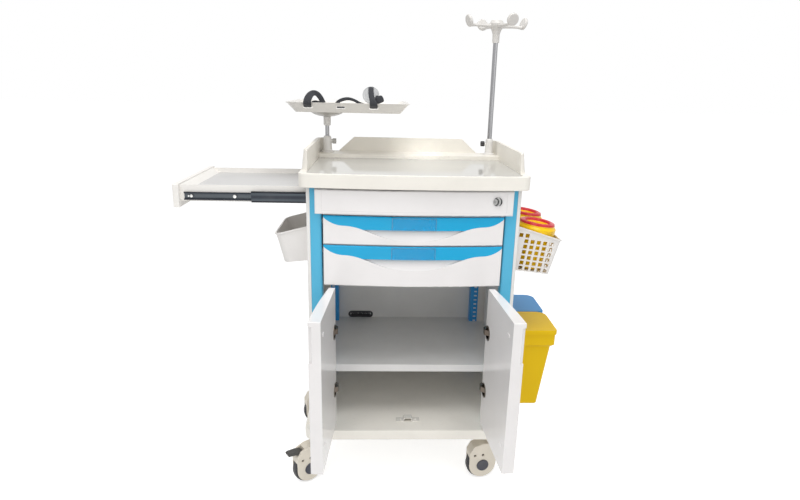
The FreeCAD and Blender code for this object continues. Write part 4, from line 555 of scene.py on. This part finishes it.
def makeWheelMaterial(corner, s):
    # disc and tyre told apart by their distance from the axle
    low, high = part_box("caster_wheel_" + corner)
    middle = (low + high) / 2
    radius = (high.z - low.z) / 2
    material, tree, shader, vector = startMaterial("wheel_" + corner)
    centred = node(tree, "Mapping", [(vector, "Vector")])
    centred.inputs["Location"].default_value = -middle
    distance = node(tree, "VectorMath", [(centred.outputs["Vector"], 0)], operation="LENGTH")
    edge = node(tree, "MapRange", [(distance.outputs["Value"], "Value")])
    edge.inputs["From Min"].default_value = radius * s["discEnds"]
    edge.inputs["From Max"].default_value = radius * s["tyreStarts"]
    tone = node(tree, "Mix", [(edge.outputs["Result"], "Factor")], data_type="RGBA")
    tone.inputs[6].default_value = paint(*s["disc"])
    tone.inputs[7].default_value = paint(*s["tyre"])
    addWear(tree, shader, vector, tone.outputs[2], (110, 108, 104), 0.25, 0.45, 14.0)
    addGrain(tree, shader, vector, 1200.0, 0.5, 0.0001)
    assign(material, "caster_wheel_" + corner)


for corner in corners:
    makeWheelMaterial(corner, wheelSettings)
print("wheels finished")

# painted reflections and painted shade on the chrome lock, as tones by share of its radius
lockReflectionRings = ((0.0, (128, 128, 126)), (0.36, (176, 176, 174)), (0.44, (34, 34, 36)), (0.52, (96, 96, 96)),
             (0.72, (190, 190, 188)), (0.84, (70, 70, 72)), (0.94, (44, 44, 47)))


def makeLockMaterial(tones):
    # plug, collar and bezel of the cylinder lock, told apart by their distance from its axis, carry painted
    # reflections of the chrome: bright highlight rings, dark reflection rings and painted shade in the
    # groove
    low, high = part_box("lock_cylinder")
    middle = (low + high) / 2
    material, tree, shader, vector = startMaterial("lockPaintedReflections")
    shader.inputs["Metallic"].default_value = 0.9
    shader.inputs["Roughness"].default_value = 0.22
    centred = node(tree, "Mapping", [(vector, "Vector")])
    centred.inputs["Location"].default_value = (-middle.x, 0.0, -middle.z)
    across = node(tree, "VectorMath", [(centred.outputs["Vector"], 0)], operation="MULTIPLY")
    across.inputs[1].default_value = (1.0, 0.0, 1.0)
    distance = node(tree, "VectorMath", [(across.outputs["Vector"], 0)], operation="LENGTH")
    share = node(tree, "MapRange", [(distance.outputs["Value"], "Value")])
    share.inputs["From Max"].default_value = (high.x - low.x) / 2
    ramp = rampOf(tree, share.outputs["Result"], tones)
    tree.links.new(ramp.outputs["Color"], shader.inputs["Base Color"])
    addBrushing(tree, shader, vector, (1.0, 0.05, 1.0), 900.0, 0.00002)
    assign(material, "lock_cylinder")


makeLockMaterial(lockReflectionRings)


# widths in millimetres, covers from 0 (clear) to 1 (solid)
windowSettings = {"edge": 1.4, "notch": 6.0, "tint": (40, 188, 240), "cut": (96, 150, 190),
                  "tintCover": 0.32, "cutCover": 0.85, "roughness": 0.14}


def makeWindowMaterial(drawer, s):
    # tinted label window: clear over the blue, darker along its cut edges, with a small thumb notch
    low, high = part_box(drawer + "_drawer_label_window")
    middle = (low + high) / 2
    material, tree, shader, vector = startMaterial(drawer + "Window")
    place = node(tree, "SeparateXYZ", [(vector, "Vector")])
    side = node(tree, "Math", [(place.outputs["X"], 0)], operation="SUBTRACT")
    side.inputs[1].default_value = middle.x
    reach = node(tree, "Math", [(side.outputs[0], 0)], operation="ABSOLUTE")
    ends = node(tree, "Math", [(reach.outputs[0], 0)], operation="GREATER_THAN")
    ends.inputs[1].default_value = (high.x - low.x) / 2 - s["edge"] * mm
    top = node(tree, "Math", [(place.outputs["Z"], 0)], operation="GREATER_THAN")
    top.inputs[1].default_value = high.z - s["edge"] * mm
    rise = node(tree, "Math", [(place.outputs["Z"], 0)], operation="SUBTRACT")
    rise.inputs[1].default_value = low.z
    notch = node(tree, "Math", [(reach.outputs[0], 0), (rise.outputs[0], 1)], operation="ADD")
    thumb = node(tree, "Math", [(notch.outputs[0], 0)], operation="LESS_THAN")
    thumb.inputs[1].default_value = s["notch"] * mm
    border = node(tree, "Math", [(ends.outputs[0], 0), (top.outputs[0], 1)], operation="MAXIMUM")
    marked = node(tree, "Math", [(border.outputs[0], 0), (thumb.outputs[0], 1)], operation="MAXIMUM")
    tone = node(tree, "Mix", [(marked.outputs[0], "Factor")], data_type="RGBA")
    tone.inputs[6].default_value = paint(*s["tint"])
    tone.inputs[7].default_value = paint(*s["cut"])
    cover = node(tree, "MapRange", [(marked.outputs[0], "Value")])
    cover.inputs["To Min"].default_value = s["tintCover"]
    cover.inputs["To Max"].default_value = s["cutCover"]
    tree.links.new(tone.outputs[2], shader.inputs["Base Color"])
    tree.links.new(cover.outputs["Result"], shader.inputs["Alpha"])
    shader.inputs["Roughness"].default_value = s["roughness"]
    addGrain(tree, shader, vector, 400.0, 0.2, 0.00002)
    assign(material, drawer + "_drawer_label_window")


for drawer in drawers:
    makeWindowMaterial(drawer, windowSettings)
print("lock and label windows finished")


def finishPiece(bm, name, material, body, smooth=True):
    mesh = bpy.data.meshes.new(name)
    bmesh.ops.recalc_face_normals(bm, faces=bm.faces)
    bm.to_mesh(mesh)
    bm.free()
    mesh.materials.append(material)
    for face in mesh.polygons:
        face.use_smooth = smooth
    piece = bpy.data.objects.new(name, mesh)
    bpy.context.scene.collection.objects.link(piece)
    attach(piece, body)
    return piece


def addModifier(piece, kind, **values):
    made = piece.modifiers.new(kind.lower(), kind)
    for key, value in values.items():
        setattr(made, key, value)
    return made


def makeWebbingMaterial(s):
    material = bpy.data.materials.new("blackWebbing")
    material.use_nodes = True
    tree = material.node_tree
    shader = tree.nodes["Principled BSDF"]
    along = tree.nodes.new("ShaderNodeUVMap")
    along.uv_map = "weave"
    weave = useGroup(tree, weaveGroup, along.outputs["UV"], Threads=s["threads"])
    tone = node(tree, "ValToRGB", [(weave.outputs["Tone"], "Fac")])
    tone.color_ramp.elements[0].color = paint(*s["dark"])
    tone.color_ramp.elements[1].color = paint(*s["worn"])
    tree.links.new(tone.outputs["Color"], shader.inputs["Base Color"])
    shader.inputs["Roughness"].default_value = s["roughness"]
    shader.inputs["Sheen Weight"].default_value = s["sheen"]
    bump(tree, shader, weave.outputs["Height"], s["depth"])
    return material


blackWebbing = makeWebbingMaterial(webbingSettings)

# webbing straps of the tray: a route's points are (x, y, z, turn, width) along the strap's middle, in
# millimetres, with z above the tray's underside and turn, in degrees, the slope of the webbing's width
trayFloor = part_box("defib_tray")[0].z / mm
strapRoutes = {
    "leftArch": [(-316, 230, 15, 0, 24), (-316, 224, 16, 0, 24), (-316, 211, 24, 0, 24),
                 (-316, 208.5, 31, 0, 24), (-314, 210, 40, -10, 23), (-308, 216, 52, -25, 21),
                 (-298, 222, 59, -65, 18), (-287, 226, 56, -115, 17), (-278, 230, 45, -148, 16),
                 (-272, 232, 33, -153, 15), (-267, 233, 23, -153, 15)],
    "innerBand": [(-306, 233, 30, -90, 10), (-290, 233.5, 31, -90, 10), (-276, 233, 28, -90, 10)],
    "middleLoop": [(-234, 234, 24, -60, 10), (-224, 233, 35, -65, 10), (-206, 232, 42, -82, 10),
                   (-190, 232, 43, -92, 9), (-172, 232, 37, -112, 8), (-158, 233, 28, -115, 8),
                   (-142, 233, 25, -92, 8), (-130, 233, 25, -90, 8)],
    "middleFoot": [(-217, 224, 15, 0, 24), (-217, 228, 15.3, 0, 24), (-217, 233, 16.5, 0, 24),
                   (-217, 236, 21, 0, 24)],
    "rightStrap": [(-117, 230, 15, 0, 24), (-117, 224, 16, 0, 24), (-117, 211, 24, 0, 24),
                   (-118, 208.5, 31, 0, 22), (-121, 210, 40, -5, 18), (-125, 216, 54, -4, 17),
                   (-126, 222, 67, -2, 16), (-126, 227, 76, 0, 16), (-125, 231, 78, 0, 16)],
    "crossTail": [(-118, 222, 31, -60, 16), (-108, 219, 38, -58, 20), (-98, 218, 43, -62, 22),
                  (-88, 219, 47, -66, 22)],
    "tailEnd": [(-112, 224, 52, -125, 14), (-104, 223, 42, -128, 16), (-97, 223, 32, -130, 16)],
}


def makeStrap(name, route, thickness):
    # one cross-wise edge drawn along the route, then given its thickness
    bm = bmesh.new()
    uv = bm.loops.layers.uv.new("weave")
    spots = {}
    length = area = 0.0
    edge = before = None
    for x, y, z, turn, width in route:
        point = at(x, y, trayFloor + z)
        half = width * mm / 2
        across = Vector((math.cos(math.radians(turn)), 0, math.sin(math.radians(turn)))) * half
        if edge is None:
            pair = [bm.verts.new(point - across), bm.verts.new(point + across)]
            edge = bm.edges.new(pair)
        else:
            grown = bmesh.ops.extrude_edge_only(bm, edges=[edge])
            made = [g for g in grown["geom"] if isinstance(g, bmesh.types.BMVert)]
            # the new edge keeps the order of the one that it grew from
            made.sort(key=lambda v: (v.co - before[1].co).length, reverse=True)
            pair = made
            step = (point - middle).length
            area += step * (half + last)
            length += step
            pair[0].co, pair[1].co = point - across, point + across
            edge = [g for g in grown["geom"] if isinstance(g, bmesh.types.BMEdge)][0]
        spots[pair[0]], spots[pair[1]] = (length, 0.0), (length, 2 * half)
        before, middle, last = pair, point, half
    for face in bm.faces:
        for loop in face.loops:
            loop[uv].uv = spots[loop.vert]
    piece = finishPiece(bm, name, blackWebbing, "defib_stand")
    addModifier(piece, "SUBSURF", levels=2, render_levels=2)
    addModifier(piece, "SOLIDIFY", thickness=thickness * mm, offset=0.0)
    return piece


strapPieces = [makeStrap(name, route, webbingSettings["thickness"]) for name, route in strapRoutes.items()]
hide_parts("tray_straps")
print("straps laid")


def turnProfile(places, axis, steps, centre):
    # a full turn of a line of points about an axis through the origin, then moved to its centre
    bm = bmesh.new()
    points = [bm.verts.new(place) for place in places]
    edges = [bm.edges.new(pair) for pair in zip(points, points[1:])]
    bmesh.ops.spin(bm, geom=points + edges, axis=axis, cent=(0, 0, 0), steps=steps, angle=2 * math.pi)
    bmesh.ops.remove_doubles(bm, verts=bm.verts, dist=0.00001)
    bmesh.ops.translate(bm, verts=bm.verts, vec=centre)
    return bm


# profile points are (radius, depth behind the disc's middle)
discSettings = {
    "place": (-126, 236, 54),
    "steps": 48,
    "profile": ((0, 0.9), (12, 0.8), (20, 0.5), (23.4, 0.2), (24.2, -0.9), (25.4, -0.7), (25.5, 0.9),
                (24.4, 1.9), (22.8, 2.0), (20, 2.2), (10, 2.6), (0, 2.7)),
}


def makeDisc(s):
    # clear backing disc with a rolled rim
    x, y, z = s["place"]
    places = [(radius * mm, depth * mm, 0) for radius, depth in s["profile"]]
    bm = turnProfile(places, (0, 1, 0), s["steps"], at(x, y, trayFloor + z))
    piece = finishPiece(bm, "clearDisc", discClear, "defib_stand")
    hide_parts("strap_disc")


makeDisc(discSettings)

portSettings = {"rim": 6.0, "tongues": 22, "slit": 0.1, "thickness": 1.6, "curl": 1.4, "lap": 0.8,
                "shortest": 1.5, "bendFrom": 0.45, "firstBend": 0.25, "tipShare": 0.5, "edge": 0.2}


def makePortLips(s):
    # two rows of rubber tongues that close the cable port and bend aside for a lead
    low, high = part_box("cable_port")
    middle = (low + high) / 2
    halfWidth = (high.x - low.x) / 2 - s["rim"] * mm
    halfHeight = (high.z - low.z) / 2 - s["rim"] * mm
    step = 2 * halfWidth / s["tongues"]
    bm = bmesh.new()
    for i in range(s["tongues"]):
        x0 = -halfWidth + i * step + s["slit"] * mm / 2
        x1 = x0 + step - s["slit"] * mm
        outside = max(abs(x0), abs(x1))
        over = max(0.0, outside - (halfWidth - halfHeight))
        reach = math.sqrt(max(halfHeight ** 2 - over ** 2, 0.0))
        if reach < s["shortest"] * mm:
            continue
        for sign in (1, -1):
            rows = ((reach, 0.0), (reach * s["bendFrom"], s["firstBend"]), (-s["lap"] * mm, 1.0))
            loops = []
            for height, bend in rows:
                y = middle.y + sign * bend * s["curl"] * mm
                z = middle.z + sign * height
                t = s["thickness"] * mm / 2 * (1.0 - s["tipShare"] * bend)
                loops.append([bm.verts.new((middle.x + x, y + d, z)) for x, d in
                              ((x0, -t), (x1, -t), (x1, t), (x0, t))])
            for a, b in zip(loops, loops[1:]):
                for j in range(4):
                    k = (j + 1) % 4
                    bm.faces.new((a[j], a[k], b[k], b[j]))
            bm.faces.new(loops[0])
            bm.faces.new(loops[-1])
    piece = finishPiece(bm, "portLips", blackPlastic, "cabinet", smooth=False)
    addModifier(piece, "BEVEL", width=s["edge"] * mm, segments=1)


makePortLips(portSettings)
print("disc and port lips made")

# profile points are (radius, drop below the tray)
dishSettings = {
    "profile": ((15, 18), (25, 16.5), (36, 13.5), (46, 9.5), (53, 5), (57, 1.5), (58, 0)),
    "steps": 64,
    "thickness": 1.2,
    "gap": 0.2,
}


def makeTrayDish(s):
    # shallow pressed dish that carries the tray on its collar
    low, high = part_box("tray_flange")
    middle = (low + high) / 2
    places = [(radius * mm, 0, -drop * mm) for radius, drop in s["profile"]]
    bm = turnProfile(places, (0, 0, 1), s["steps"], (middle.x, middle.y, high.z - s["gap"] * mm))
    piece = finishPiece(bm, "trayDish", dishGrey, "defib_stand")
    addModifier(piece, "SOLIDIFY", thickness=s["thickness"] * mm, offset=-1.0)


dishGrey = plastic("dishGrey", (188, 185, 180), amount=0.1, roughness=0.3, grain=900)
makeTrayDish(dishSettings)

# heads are (distance from the member's outer end, radius); flatness is a head's rise over its radius
screwSettings = {"heads": ((13.0, 2.6), (20.5, 4.2), (141.0, 5.0)), "flatness": 0.14, "rings": 12}


def makeSlideScrews(s):
    # domed heads that hold the inner slide members to the shelf, front and back
    low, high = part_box("slide_inner_members")
    bm = bmesh.new()
    for along, radius in s["heads"]:
        for y in (low.y, high.y):
            place = Matrix.Translation((low.x + along * mm, y, (low.z + high.z) / 2))
            place = place @ Matrix.Diagonal((1, s["flatness"], 1, 1))
            bmesh.ops.create_uvsphere(bm, u_segments=2 * s["rings"], v_segments=s["rings"],
                                      radius=radius * mm, matrix=place)
    finishPiece(bm, "slideScrews", screwSteel, "side_shelf")


makeSlideScrews(screwSettings)

backingSettings = {"columnWidth": 52.0, "inset": 17.33, "width": 11.0, "wall": 2.5, "thickness": 0.8,
                   "gap": 0.1, "underShelf": 30.0, "underTop": 4.0}


def makeSlotBacking(s):
    # pale strips behind the comb slots of the rear columns
    low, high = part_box("rear_columns")
    inner = (high.x - low.x) / 2 - s["columnWidth"] * mm
    bm = bmesh.new()
    # the left column ends below the side shelf
    tops = {-1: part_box("side_shelf")[0].z - s["underShelf"] * mm, 1: high.z - s["underTop"] * mm}
    for side, top in tops.items():
        x = centreX + side * (inner + s["inset"] * mm)
        depth = low.y + (s["wall"] + s["gap"] + s["thickness"] / 2) * mm
        place = Matrix.Translation((x, depth, (low.z + top) / 2))
        size = Matrix.Diagonal((s["width"] * mm, s["thickness"] * mm, top - low.z, 1))
        bmesh.ops.create_cube(bm, size=1.0, matrix=place @ size)
    finishPiece(bm, "slotBacking", coatedWhite, "cabinet", smooth=False)


makeSlotBacking(backingSettings)
print("dish, slide screws and slot backing made")
